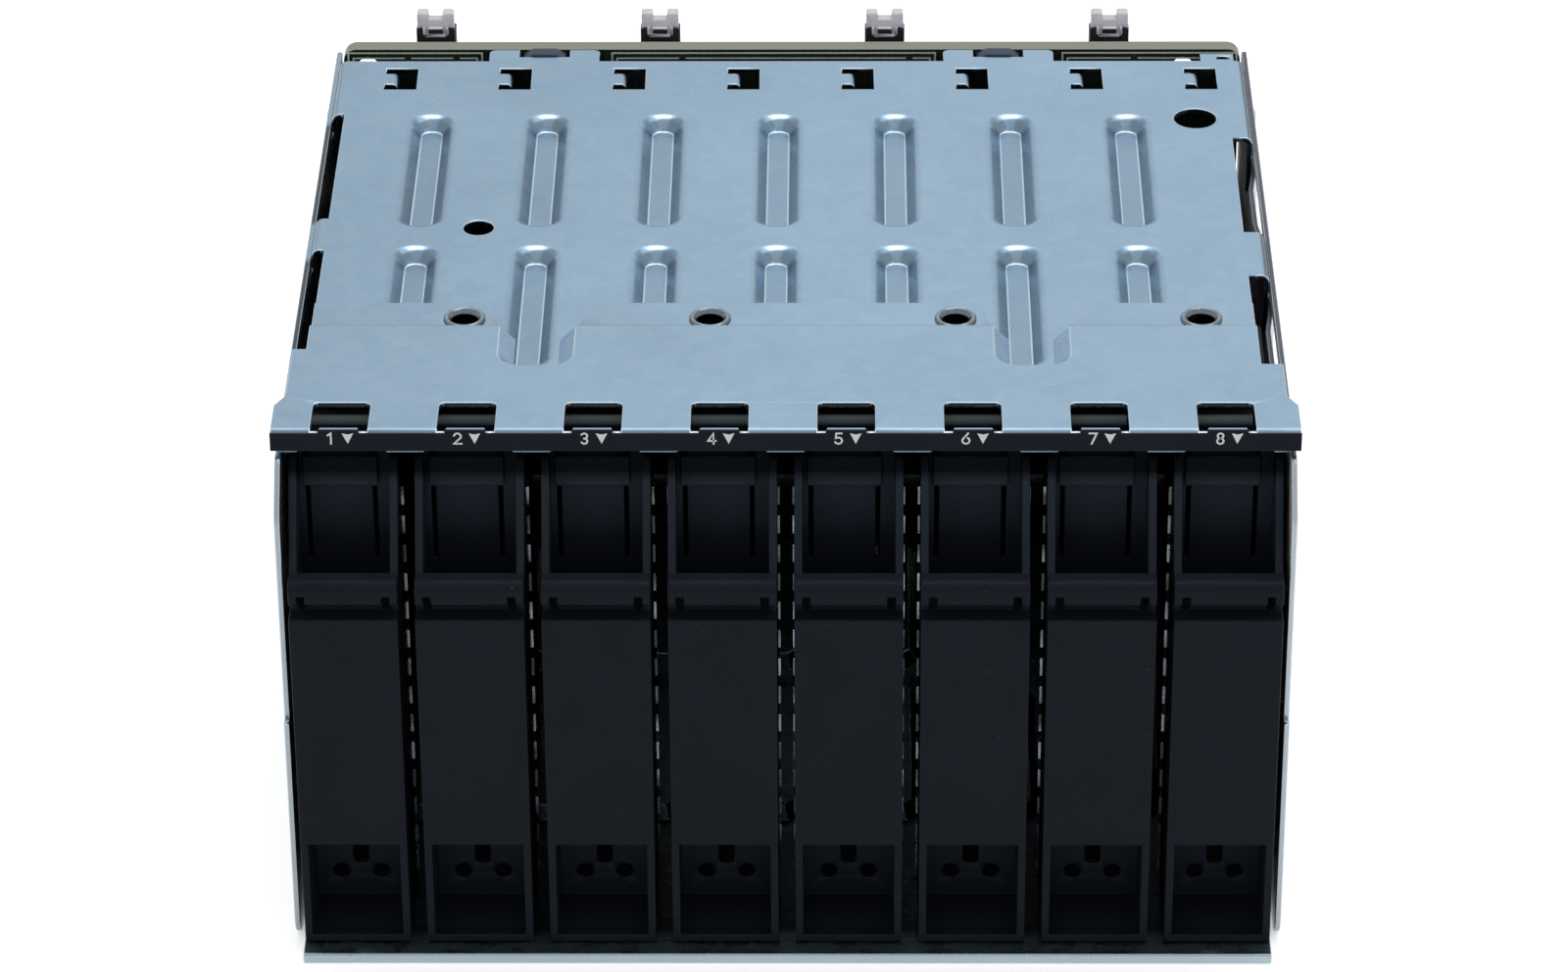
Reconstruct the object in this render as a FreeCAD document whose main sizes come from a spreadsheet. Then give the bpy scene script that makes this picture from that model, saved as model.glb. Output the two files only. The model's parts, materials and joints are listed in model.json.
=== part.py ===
import FreeCAD, Part
import math
import os
import re

import Sketcher
from FreeCAD import Vector

# Drive cage for eight small-form-factor drives, with a blank in every bay.
# Millimetres. +X is to the right seen from the front, +Y to the rear, +Z up.
# The origin is the centre of the base panel's underside.

doc = FreeCAD.newDocument("drive_cage")
sheet = doc.addObject("Spreadsheet::Sheet", "dims")

DIMENSIONS = (
    # Cage
    ("bay_count", 8, "drive bays side by side"),
    ("bay_pitch", 17.0, "spacing of the bays"),
    ("cage_depth", 126.0, "base panel, front edge to rear edge"),
    ("cage_height", 75.8, "underside to the top panel's upper face"),
    ("sheet_gauge", 0.8, "thickness of every folded sheet"),
    ("wall_inset", 0.3, "outermost bay cell to the side wall's inner face"),
    ("bend_outside", 1.2, "outside radius of a fold"),
    ("fold_height", 9.0, "height of the folds that join the panels to the walls"),
    ("seat_gap", 0.05, "play between pieces that rest on each other"),
    ("slide_gap", 0.3, "play between a blank and what it slides past"),
    ("sheet_corner", 1.0, "radius of a sheet's small corners"),
    ("edge_round", 0.4, "rounding of small moulded edges"),
    ("cut_spare", 1.0, "how far a cut runs past a face, or a pad into what it joins"),
    # Side walls
    ("wall_setback", 5.3, "base panel's front edge to the wall's front edge"),
    ("wall_step", 1.3, "how far the wall's upper front edge stands back"),
    ("wall_step_height", 36.2, "height of the step in the front edge"),
    ("wall_nose_drop", 8.0, "top panel down to where the front edge slants back"),
    ("wall_top_setback", 11.8, "base panel's front edge to the top edge's start"),
    ("wall_corner", 4.0, "radius of the wall's lower front corner and its nose"),
    ("wall_top_corner", 2.0, "radius at the front of the wall's top edge"),
    ("leaf_height", 11.0, "height of a bowed leaf"),
    ("leaf_drop", 3.2, "top panel down to a bowed leaf"),
    ("leaf_bow_left", -0.35, "how far the left leaves bow into the cage, less than 0 for out of it"),
    ("leaf_bow_right", 1.1, "how far the right leaves bow into the cage"),
    ("leaf_ramp", 9.0, "length of a leaf's ramp"),
    ("leaf_bend", 9.0, "radius of a leaf's bends"),
    ("leaf_root", 0.5, "flat root at each end of a leaf"),
    ("leaf_slit", 0.6, "slit above a leaf"),
    # Openings in the panel's side edges
    ("notch_pitch", 41.4, "front notch to rear notch"),
    ("notch_length_left", 32.1, "left side notches"),
    ("notch_length_right", 28.7, "right side notches"),
    ("notch_margin_left", 17.2, "panel's rear edge to the left rear notch"),
    ("notch_margin_right", 24.7, "panel's rear edge to the right rear notch"),
    ("notch_width_left", 2.7, "left notches, from the wall's outer face"),
    ("notch_width_right", 3.8, "right notches, from the wall's outer face"),
    # Top and base panels
    ("hem_length", 6.0, "length of the base panel's folded front hem"),
    ("hem_inset", 0.7, "hem's ends in from the wall"),
    ("rib_length", 33.7, "embossed guide rib, end to end"),
    ("rib_mouth", 6.6, "rib's width at the sheet's face"),
    ("rib_floor", 3.1, "rib's width at its floor"),
    ("rib_flat", 0.15, "half of the short flat at a rib's end"),
    ("rib_depth", 1.9, "rib's depth below the sheet's face"),
    ("rib_row_pitch", 40.1, "front row to rear row"),
    ("rib_rear_margin", 17.6, "panel's rear edge to the rear row's end"),
    ("rib_shift", -1.7, "ribs beside the bay boundaries"),
    ("slot_width", 4.7, "rear slot across the cage"),
    ("slot_length", 6.7, "rear slot along the cage"),
    ("slot_shift", 1.45, "rear slots beside the bay centres"),
    ("slot_margin", 2.5, "panel's rear edge to the rear slots"),
    ("slot_tongue_width", 3.4, "bent tongue in a rear slot"),
    ("slot_tongue_length", 1.1, "how far the tongue reaches into the slot"),
    ("small_hole", 4.3, "diameter of the small round hole"),
    ("small_hole_margin", 52.1, "panel's rear edge to the small hole"),
    ("large_hole", 6.2, "diameter of the large round hole"),
    ("large_hole_margin", 18.6, "panel's rear edge to the large hole"),
    ("tab_width", 16.6, "rear tab that reaches to the board"),
    ("tab_shift", -3.0, "rear tabs beside their bay boundary"),
    ("tab_notch_width", 7.4, "clip's notch in a rear tab"),
    ("tab_notch_depth", 2.3, "depth of the clip's notch"),
    ("ear_tab_width", 5.0, "small slotted tab at the right rear corner"),
    ("ear_tab_reach", 2.3, "how far the slotted tab reaches"),
    ("ear_tab_inset", 1.5, "slotted tab in from the wall"),
    ("ear_slot_width", 2.0, "slot in that tab, across the cage"),
    ("ear_slot_length", 1.0, "slot in that tab, along the cage"),
    ("ear_slot_margin", 0.5, "slot in from the tab's right edge and the panel's rear edge"),
    # Front header
    ("header_rise", 2.2, "header's upper face above the top panel"),
    ("lip_setback", 12.9, "base panel's front edge to the header's lip"),
    ("lip_height", 2.8, "height of the header's front lip"),
    ("ear_overhang", 0.55, "header's ears beyond the side walls"),
    ("ear_depth", 7.1, "ears, lip to chamfer"),
    ("ear_chamfer", 2.5, "length of the ears' chamfer"),
    ("header_reach", 29.6, "lip to the step down onto the top panel"),
    ("step_run", 0.3, "length of the step down"),
    ("flange_length", 7.8, "flange that lies on the top panel"),
    ("window_width", 7.7, "latch window across the cage"),
    ("window_depth", 7.8, "lip to the window's rear edge"),
    ("window_radius", 0.9, "window's rear corners"),
    ("window_shift", -0.35, "windows beside the bay centres"),
    ("window_sill", 0.3, "lip's edge in a window below the header's face"),
    ("sill_tongue_width", 5.2, "upright tongue of the lip in a window"),
    ("sill_tongue_rise", 0.2, "that tongue above the header's face"),
    ("lip_tongue_width", 5.8, "tongue under the lip between two bays"),
    ("lip_tongue_drop", 0.45, "how far a tongue hangs below the lip"),
    ("relief_width", 10.4, "rib relief in the header's raised face"),
    ("relief_floor", 6.0, "rib relief at the top panel"),
    ("relief_mouth", 15.0, "rib relief just behind the flange's edge"),
    ("relief_reach", 11.7, "rib relief ahead of the step"),
    ("relief_radius", 3.4, "rib relief's inner corners"),
    ("strip_gauge", 0.3, "number strip's thickness"),
    ("strip_margin", 0.15, "lip's bare edge above the number strip"),
    ("strip_tab_width", 5.5, "number strip's tab in a window"),
    ("strip_tab_rise", 0.55, "tab above the strip's upper edge"),
    # Rivets
    ("eyelet_head", 5.8, "diameter of an eyelet's rolled head"),
    ("eyelet_barrel", 4.4, "diameter of an eyelet's barrel"),
    ("eyelet_bore", 3.5, "bore of an eyelet"),
    ("eyelet_rise", 0.4, "height of the rolled head"),
    ("eyelet_chamfer", 0.25, "rolled head's sloped outer edge"),
    ("eyelet_funnel", 0.6, "width and depth of the flare into the bore"),
    ("eyelet_margin", 4.6, "flange's rear edge to the eyelets"),
    ("eyelet_shift", -2.2, "eyelets beside the bay centres"),
    ("rivet_head", 4.8, "diameter of a side rivet's head"),
    ("rivet_shank", 2.8, "diameter of a side rivet's shank"),
    ("rivet_rise", 0.5, "height of a side rivet's head"),
    ("rivet_chamfer", 0.8, "sloped edge of a side rivet's head"),
    ("rivet_height", 5.5, "side rivets in from the cage's upper and lower faces"),
    ("rivet_setback", 2.5, "folds' front end to the front rivets"),
    ("rivet_margin", 9.0, "panel's rear edge to the rear rivets"),
    # Blanks
    ("blank_gap", 2.3, "gap between two blanks"),
    ("blank_setback", 2.8, "base panel's front edge to a blank's face"),
    ("blank_wall", 1.1, "moulded wall"),
    ("frame_depth", 14.2, "blank's full-width front"),
    ("blank_depth", 48.0, "blank's face to its open rear"),
    ("blank_waist", 0.95, "rear body in from the front on each side"),
    ("blank_lift", 1.5, "rear body above the front's foot"),
    ("pocket_top", 18.0, "height of the lower pocket's roof"),
    ("pocket_depth", 10.0, "depth of the lower pocket"),
    ("grip_drop", 19.7, "cheeks' top down to the flat face's upper edge"),
    ("groove_height", 1.7, "dark groove above the flat face"),
    ("groove_depth", 3.0, "depth of that groove"),
    ("bar_height", 3.4, "pull bar's height"),
    ("bar_setback", 0.9, "flat face to the pull bar's front"),
    ("bar_radius", 1.5, "pull bar's rounded front"),
    ("bar_thickness", 3.2, "pull bar, front to back"),
    ("bar_notch_width", 1.1, "notch in the pull bar's lower corners"),
    ("bar_notch_height", 1.4, "height of that notch"),
    ("finger_depth", 13.6, "flat face to the finger recess's back"),
    ("finger_drop", 3.5, "flat face's upper edge down to the finger recess's floor"),
    ("finger_round", 3.0, "finger recess's rounded rear corner"),
    ("cheek_lean", 7.2, "how far the cheeks lean back towards the header"),
    ("cheek_round", 3.0, "cheeks' rounded upper corner"),
    ("latch_width", 8.5, "flexible latch between its slits"),
    ("latch_shift", -0.6, "latch beside the bay centre"),
    ("latch_slit", 0.6, "slit beside the latch"),
    ("slit_rise", 5.0, "finger recess's floor to the slits' lower ends"),
    ("latch_length", 11.2, "latch's rounded top, front to back"),
    ("latch_crown", 6.4, "finger recess's back to the latch's ridge"),
    ("latch_slope", 1.2, "latch's front part below its ridge"),
    ("latch_ramp", 0.9, "length of the ramp up to the ridge"),
    ("latch_round", 1.2, "latch's rounded front edge"),
    ("thumb_drop", 6.2, "cheeks' top down to the thumb plate's lower edge"),
    ("thumb_width", 10.2, "thumb plate across the latch"),
    ("thumb_gauge", 0.6, "thumb plate's thickness"),
    ("port_diameter", 2.3, "hole in the lower pocket's back"),
    ("port_spread", 5.6, "spacing of the two holes"),
    ("port_drop", 11.1, "pocket's roof to the holes' centres"),
    ("port_notch", 2.1, "notch between the holes"),
    ("port_notch_depth", 9.8, "pocket's roof to the notch's lower end"),
    ("port_notch_round", 0.7, "notch's lower corners"),
    # Shield springs on the blanks
    ("spring_gauge", 0.2, "spring sheet's thickness"),
    ("spring_depth", 8.0, "spring clip, front to back"),
    ("finger_pitch", 4.6, "spacing of the fingers"),
    ("finger_width", 2.8, "width of a finger"),
    ("finger_reach", 0.28, "how far a finger stands past the blank's side"),
    ("finger_start", 3.6, "height of the lowest finger"),
    ("finger_headroom", 4.4, "rear body's top down to the row of fingers"),
    ("finger_crest", 1.2, "clip's front edge to the fingers' crests"),
    ("finger_flat", 0.8, "length of a finger's crest"),
    ("finger_margin", 0.3, "clip's rear edge to the fingers' ends"),
    # Board and its sockets
    ("board_gap", 3.7, "panel's rear edge to the board"),
    ("board_gauge", 2.6, "board's thickness"),
    ("board_inset", 0.3, "board's edges in from the walls"),
    ("board_foot", 1.3, "height of the board's lower edge"),
    ("board_corner", 2.0, "board's corner radius"),
    ("board_hole", 3.2, "mounting hole in the board"),
    ("board_hole_drop", 2.9, "board's upper edge to the holes"),
    ("board_hole_left", 3.7, "board's left edge to the left holes"),
    ("board_hole_right", 8.6, "board's right edge to the right holes"),
    ("vent_width", 2.0, "air slot in the board"),
    ("vent_height", 16.0, "height of an air slot"),
    ("vent_foot", 50.0, "height of the air slots' lower ends"),
    ("vent_shift", 1.8, "air slots beside the bay boundaries"),
    ("vent_round", 0.9, "air slots' corner radius"),
    ("socket_width", 6.2, "drive socket across the cage"),
    ("socket_height", 42.0, "drive socket's height"),
    ("socket_foot", 13.0, "height of the drive sockets' lower ends"),
    ("socket_depth", 8.5, "drive socket, front to back"),
    ("socket_wall", 1.3, "drive socket's wall"),
    ("blade_gauge", 1.2, "contact blade in a drive socket"),
    ("cable_width", 6.0, "cable socket across the cage"),
    ("cable_foot", 45.0, "height of the cable sockets' lower ends"),
    ("cable_depth", 8.3, "cable socket, front to back"),
    ("cable_drop", 4.3, "top panel down to a cable socket's shoulder"),
    ("cable_slot", 2.4, "cable socket's slot"),
    ("cable_wall", 2.0, "cable socket's material round its slot"),
    ("cable_shift", -2.95, "cable sockets beside their bay boundaries"),
    ("tower_depth", 2.4, "upright at the cable socket's rear"),
    ("tower_drop", 0.9, "top panel down to the upright's top"),
    ("hasp_width", 5.6, "pale latch on a cable socket"),
    ("hasp_rise", 2.1, "pale latch above the top panel"),
    ("hasp_gauge", 1.8, "pale latch, front to back"),
    ("hasp_notch", 2.1, "notch in the pale latch's top"),
    ("hasp_notch_depth", 1.1, "depth of that notch"),
    ("hasp_frame", 0.6, "pale frame's thickness"),
    ("hasp_frame_width", 3.8, "pale frame across the cage"),
    ("hasp_drop", 2.5, "top panel down to the pale frame's lower end"),
    ("hasp_eye", 2.6, "opening in the pale frame"),
    ("hasp_bar", 0.6, "pale frame's lower bar"),
    ("power_width", 22.0, "power socket across the cage"),
    ("power_height", 10.4, "power socket's height"),
    ("power_depth", 10.0, "power socket, front to back"),
    ("power_foot", 22.0, "height of the power socket's lower face"),
    ("power_wall", 1.2, "power socket's wall"),
    ("power_columns", 5, "power contacts side by side"),
    ("power_rows", 2, "rows of power contacts"),
    ("clip_width", 6.4, "board clip across the cage"),
    ("clip_height", 4.6, "board clip's height"),
    ("clip_rise", 0.3, "board clip above the top panel"),
    ("clip_shoulder", 0.8, "board clip's top down to its shoulders"),
    ("clip_slope", 1.4, "slope from a shoulder to the top"),
    ("clip_round", 1.2, "rounding of the board clip's top"),
)

for row, (alias, number, note) in enumerate(DIMENSIONS, start=1):
    sheet.set(f"A{row}", alias)
    sheet.set(f"B{row}", str(number))
    sheet.set(f"C{row}", note)
    sheet.setAlias(f"B{row}", alias)
doc.recompute()

ALIASES = {alias for alias, number, note in DIMENSIONS}

# Places worked out from the driving dimensions
FRONT = "(-(cage_depth + board_gap + board_gauge + seat_gap + power_depth) / 2)"
REAR = f"({FRONT} + cage_depth)"
INNER = "(bay_count * bay_pitch / 2 - wall_inset)"
OUTER = f"({INNER} + sheet_gauge)"
LIP = f"({FRONT} + lip_setback)"
HEADER_TOP = "(cage_height + header_rise)"
STEP = f"({LIP} + header_reach)"
FLANGE_END = f"({STEP} + step_run + flange_length)"
FACE = f"({FRONT} + blank_setback)"
FRAME_REAR = f"({FACE} + frame_depth)"
BLANK_REAR = f"({FACE} + blank_depth)"
HALF_BLANK = "((bay_pitch - blank_gap) / 2)"
HALF_BODY = f"({HALF_BLANK} - blank_waist)"
FOOT = "(2 * sheet_gauge + slide_gap)"
BODY_FOOT = f"({FOOT} + blank_lift)"
LIP_FOOT = f"({HEADER_TOP} - lip_height)"
WALL_TOP = f"({LIP_FOOT} - lip_tongue_drop - slide_gap)"
CHEEK_TOP = f"({WALL_TOP} - slide_gap)"
PLATE_TOP = f"({CHEEK_TOP} - grip_drop)"
FINGER_FLOOR = f"({PLATE_TOP} - finger_drop)"
LATCH_TOP = f"({LIP_FOOT} - slide_gap)"
BODY_TOP = "(cage_height - sheet_gauge - rib_depth - slide_gap)"
FINGER_BACK = f"({FACE} + finger_depth)"
FINGER_COUNT = f"floor(({BODY_TOP} - finger_headroom - finger_start) / finger_pitch)"
SPRING_REAR = f"({FRAME_REAR} + seat_gap + spring_depth)"
FOLD_FRONT = f"({SPRING_REAR} + slide_gap)"
BOARD_FRONT = f"({REAR} + board_gap)"
BOARD_REAR = f"({BOARD_FRONT} + board_gauge)"


def tie(expression):
    """Point the named sizes of an expression at the sheet's cells."""
    return re.sub(
        r"[a-z]+(?:_[a-z]+)+",
        lambda word: f"dims.{word.group()}" if word.group() in ALIASES else word.group(),
        str(expression),
    )


def value(expression):
    """Return an expression's present number."""
    return float(sheet.evalExpression(tie(expression)))


def bay(number):
    """Return the expression for a bay's centre, bays numbered from 1 at the left."""
    return f"(({number} - (bay_count + 1) / 2) * bay_pitch)"


def boundary(number):
    """Return the expression for the boundary to the right of a bay."""
    return f"(({number} - bay_count / 2) * bay_pitch)"


# Sketches

def pin(sketch, geometry, point, x, y):
    """Hold a point of a sketch at a place given by two expressions."""
    for kind, place in (("DistanceX", x), ("DistanceY", y)):
        index = sketch.addConstraint(
            Sketcher.Constraint(kind, -1, 1, geometry, point, value(place))
        )
        sketch.setExpression(f"Constraints[{index}]", tie(place))


def corner_arc(before, at, after, radius):
    """Return the arc that rounds a corner, and whether it runs with the outline."""
    back = (before - at).normalize()
    ahead = (after - at).normalize()
    half = back.getAngle(ahead) / 2
    reach = radius / math.tan(half)
    middle = at + (back + ahead).normalize() * (radius / math.sin(half))
    first = at + back * reach
    last = at + ahead * reach
    start = math.atan2(first.y - middle.y, first.x - middle.x)
    end = math.atan2(last.y - middle.y, last.x - middle.x)
    left_turn = (at - before).cross(after - at).z > 0
    circle = Part.Circle(middle, Vector(0, 0, 1), radius)
    if left_turn:
        return Part.ArcOfCircle(circle, start, end), first, last, True
    return Part.ArcOfCircle(circle, end, start), first, last, False


def draw(sketch, corners):
    """Draw a closed outline through corners (x, y) or (x, y, radius), as expressions."""
    count = len(corners)
    points = [Vector(value(corner[0]), value(corner[1]), 0) for corner in corners]
    starts = list(points)
    ends = points[1:] + points[:1]
    arcs = {}
    for i, corner in enumerate(corners):
        if len(corner) == 3:
            arc, first, last, with_outline = corner_arc(
                points[i - 1], points[i], points[(i + 1) % count], value(corner[2])
            )
            arcs[i] = (arc, with_outline)
            ends[i - 1] = first
            starts[i] = last
    lines = [
        sketch.addGeometry(Part.LineSegment(start, end), False)
        for start, end in zip(starts, ends)
    ]
    for i, corner in enumerate(corners):
        before, after = lines[i - 1], lines[i]
        if i not in arcs:
            sketch.addConstraint(Sketcher.Constraint("Coincident", before, 2, after, 1))
            pin(sketch, after, 1, corner[0], corner[1])
            continue
        arc, with_outline = arcs[i]
        bend = sketch.addGeometry(arc, False)
        point = sketch.addGeometry(Part.Point(points[i]), True)
        pin(sketch, point, 1, corner[0], corner[1])
        first, last = (1, 2) if with_outline else (2, 1)
        sketch.addConstraint([
            Sketcher.Constraint("Tangent", before, 2, bend, first),
            Sketcher.Constraint("Tangent", after, 1, bend, last),
            Sketcher.Constraint("PointOnObject", point, 1, before),
            Sketcher.Constraint("PointOnObject", point, 1, after),
        ])
        size = sketch.addConstraint(Sketcher.Constraint("Radius", bend, value(corner[2])))
        sketch.setExpression(f"Constraints[{size}]", tie(corner[2]))


def draw_circle(sketch, x, y, diameter):
    """Draw a circle with its centre and diameter given by expressions."""
    centre = Vector(value(x), value(y), 0)
    circle = sketch.addGeometry(Part.Circle(centre, Vector(0, 0, 1), value(diameter) / 2), False)
    pin(sketch, circle, 3, x, y)
    size = sketch.addConstraint(Sketcher.Constraint("Diameter", circle, value(diameter)))
    sketch.setExpression(f"Constraints[{size}]", tie(diameter))


def rectangle(x0, x1, y0, y1, radius=None):
    """Return the corners of a rectangle, rounded where a radius is given."""
    corners = ((x0, y0), (x1, y0), (x1, y1), (x0, y1))
    return [corner + ((radius,) if radius else ()) for corner in corners]


# Features

NORMAL_SIGN = {"XY_Plane": 1, "XZ_Plane": -1, "YZ_Plane": 1}
OUTPUT = []


def new_body(name):
    """Add a body whose label names its file."""
    body = doc.addObject("PartDesign::Body", name)
    body.Label = name
    body.AllowCompound = True
    OUTPUT.append(body)
    return body


def origin_feature(body, role):
    """Return one of a body's own origin planes or axes."""
    return next(item for item in body.Origin.OriginFeatures if item.Role == role)


def new_sketch(body, name, plane, height):
    """Add a sketch on one of the body's origin planes, moved along that plane's axis."""
    sketch = body.newObject("Sketcher::SketchObject", name)
    sketch.AttachmentSupport = [(origin_feature(body, plane), "")]
    sketch.MapMode = "FlatFace"
    sketch.setExpression("AttachmentOffset.Base.z", tie(f"{NORMAL_SIGN[plane]} * ({height})"))
    return sketch


def extrude(body, name, plane, low, high, outlines=(), circles=(), cut=False):
    """Pad or pocket outlines and circles between two places along a plane's axis."""
    sketch = new_sketch(body, f"{name}_sketch", plane, f"(({low}) + ({high})) / 2")
    for corners in outlines:
        draw(sketch, corners)
    for x, y, diameter in circles:
        draw_circle(sketch, x, y, diameter)
    kind = "PartDesign::Pocket" if cut else "PartDesign::Pad"
    feature = body.newObject(kind, name)
    feature.Profile = sketch
    feature.SideType = "Symmetric"
    feature.setExpression("Length", tie(f"({high}) - ({low})"))
    doc.recompute()
    return feature


def loft(body, name, low, high, low_corners, high_corners, cut=False):
    """Loft between two outlines on level planes."""
    lower = new_sketch(body, f"{name}_low", "XY_Plane", low)
    draw(lower, low_corners)
    upper = new_sketch(body, f"{name}_high", "XY_Plane", high)
    draw(upper, high_corners)
    kind = "PartDesign::SubtractiveLoft" if cut else "PartDesign::AdditiveLoft"
    feature = body.newObject(kind, name)
    feature.Profile = upper
    feature.Sections = [lower]
    feature.Ruled = True
    doc.recompute()
    return feature


def repeat(body, name, features, axis, pitch, count, second=None):
    """Repeat features along one of the body's axes, and along a second if it is given."""
    pattern = body.newObject("PartDesign::LinearPattern", name)
    pattern.Originals = features
    pattern.Direction = (origin_feature(body, axis), [""])
    pattern.setExpression("Length", tie(f"({pitch}) * ({count} - 1)"))
    pattern.setExpression("Occurrences", tie(count))
    if second:
        axis_two, pitch_two, count_two = second
        pattern.Direction2 = (origin_feature(body, axis_two), [""])
        pattern.setExpression("Length2", tie(f"({pitch_two}) * ({count_two} - 1)"))
        pattern.setExpression("Occurrences2", tie(count_two))
    body.Tip = pattern
    doc.recompute()
    return pattern


def round_edges(body, name, radius, wanted):
    """Fillet the edges of the body's tip whose middle satisfies a test."""
    tip = body.Tip
    edges = [
        f"Edge{number}"
        for number, edge in enumerate(tip.Shape.Edges, start=1)
        if wanted(edge, edge.valueAt((edge.FirstParameter + edge.LastParameter) / 2))
    ]
    feature = body.newObject("PartDesign::Fillet", name)
    feature.Base = (tip, edges)
    feature.setExpression("Radius", tie(radius))
    doc.recompute()
    return feature


def place(body, x):
    """Move a body along X to a place given by an expression."""
    body.setExpression("Placement.Base.x", tie(x))


# Sheet metal

def rib_outline(width, low, high):
    """Return a rib's outline on the sheet's face: a slot with nearly full round ends."""
    x = f"({boundary(1)} + rib_shift)"
    half = f"({width}) / 2"
    return rectangle(f"{x} - {half}", f"{x} + {half}", low, high, f"({width}) / 2 - rib_flat")


def boss_outline(width, low, high):
    """Return a rib's outline inside the cage: a slot whose chamfers touch those round ends."""
    x = f"({boundary(1)} + rib_shift)"
    half = f"({width}) / 2"
    chamfer = f"((2 - sqrt(2)) * ({half} - rib_flat))"
    west, east = f"{x} - {half}", f"{x} + {half}"
    return [
        (f"{west} + {chamfer}", low), (f"{east} - {chamfer}", low),
        (east, f"{low} + {chamfer}"), (east, f"{high} - {chamfer}"),
        (f"{east} - {chamfer}", high), (f"{west} + {chamfer}", high),
        (west, f"{high} - {chamfer}"), (west, f"{low} + {chamfer}"),
    ]


def add_ribs(body, face, inward):
    """Emboss two rows of guide ribs from a panel's outer face into the cage."""
    depth = f"{inward} * rib_depth"
    floor = f"({face} + {depth})"
    back = f"({floor} + {inward} * sheet_gauge)"
    slope = "((rib_mouth - rib_floor) / 2)"
    rear_end = f"({REAR} - rib_rear_margin)"
    front_end = f"({rear_end} - rib_length)"

    def ends(spare):
        return f"{front_end} + {slope} - {spare}", f"{rear_end} - {slope} + {spare}"

    skin = f"({face} + {inward} * sheet_gauge / 2)"
    wall = "(2 * sheet_gauge)"
    boss = [
        (back, boss_outline(f"rib_floor + {wall}", *ends("sheet_gauge"))),
        (skin, boss_outline(f"rib_mouth + {wall}", *ends(f"({slope} + sheet_gauge)"))),
    ]
    hollow = [
        (floor, rib_outline("rib_floor", *ends("0"))),
        (face, rib_outline("rib_mouth", *ends(slope))),
    ]
    features = []
    for name, sections, cut in (("rib_boss", boss, False), ("rib_hollow", hollow, True)):
        (low, low_corners), (high, high_corners) = sections if inward == "-1" else sections[::-1]
        features.append(loft(body, name, low, high, low_corners, high_corners, cut))
    row = ("X_Axis", "bay_pitch", "bay_count - 1")
    pattern = repeat(body, "ribs", features, *row, second=("Y_Axis", "rib_row_pitch", "2"))
    pattern.Reversed2 = True
    doc.recompute()


def rivet_places():
    """Return the side rivets' places along Y and Z as expressions."""
    heights = ("(cage_height - rivet_height)", "rivet_height")
    along = (f"({FOLD_FRONT} + rivet_setback)", f"({REAR} - rivet_margin)")
    return [(y, z) for y in along for z in heights]


def cut_rivet_holes(body, low, high, heights):
    """Drill the side rivets' holes through a fold or a wall."""
    circles = [
        (y, z, "rivet_shank + slide_gap")
        for y, z in rivet_places()
        if z in heights
    ]
    extrude(body, "rivet_holes", "YZ_Plane", low, high, circles=circles, cut=True)


def notch_ranges(side):
    """Return the start and end of a side's two notches along Y."""
    rear_end = f"({REAR} - notch_margin_{side})"
    ends = (f"({rear_end} - notch_pitch)", rear_end)
    return [(f"({end} - notch_length_{side})", end) for end in ends]


def cut_side_notches(body, low, high):
    """Cut the notches in both side edges of a panel."""
    for side, sign in (("left", "-1"), ("right", "1")):
        inner = f"{sign} * ({OUTER} - notch_width_{side})"
        outer = f"{sign} * ({OUTER} + ear_overhang + cut_spare)"
        west, east = (outer, inner) if side == "left" else (inner, outer)
        outlines = [rectangle(west, east, start, end) for start, end in notch_ranges(side)]
        extrude(body, f"{side}_notches", "XY_Plane", low, high, outlines, cut=True)


def eyelet_bays():
    """Return every second bay, where the eyelets are."""
    return range(2, int(value("bay_count")) + 1, 2)


def eyelet_circles(diameter):
    """Return the eyelets' circles on the top panel."""
    y = f"({FLANGE_END} - eyelet_margin)"
    return [(f"({bay(number)} + eyelet_shift)", y, diameter) for number in eyelet_bays()]


def fold_section(face, inward, edge):
    """Return the section of a panel with a fold along each side."""
    inner_face = f"({face} + {inward} * sheet_gauge)"
    end = f"({face} + {inward} * fold_height)"
    inside = f"({edge} - sheet_gauge)"
    inner_bend = "(bend_outside - sheet_gauge)"
    return [
        (f"-{edge}", face, "bend_outside"),
        (f"-{edge}", end),
        (f"-{inside}", end),
        (f"-{inside}", inner_face, inner_bend),
        (inside, inner_face, inner_bend),
        (inside, end),
        (edge, end),
        (edge, face, "bend_outside"),
    ]


def tab_centres():
    """Return the rear tabs' centres."""
    quarter = int(value("bay_count")) // 4
    return [f"({boundary(number)} + tab_shift)" for number in (quarter, 3 * quarter)]


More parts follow.
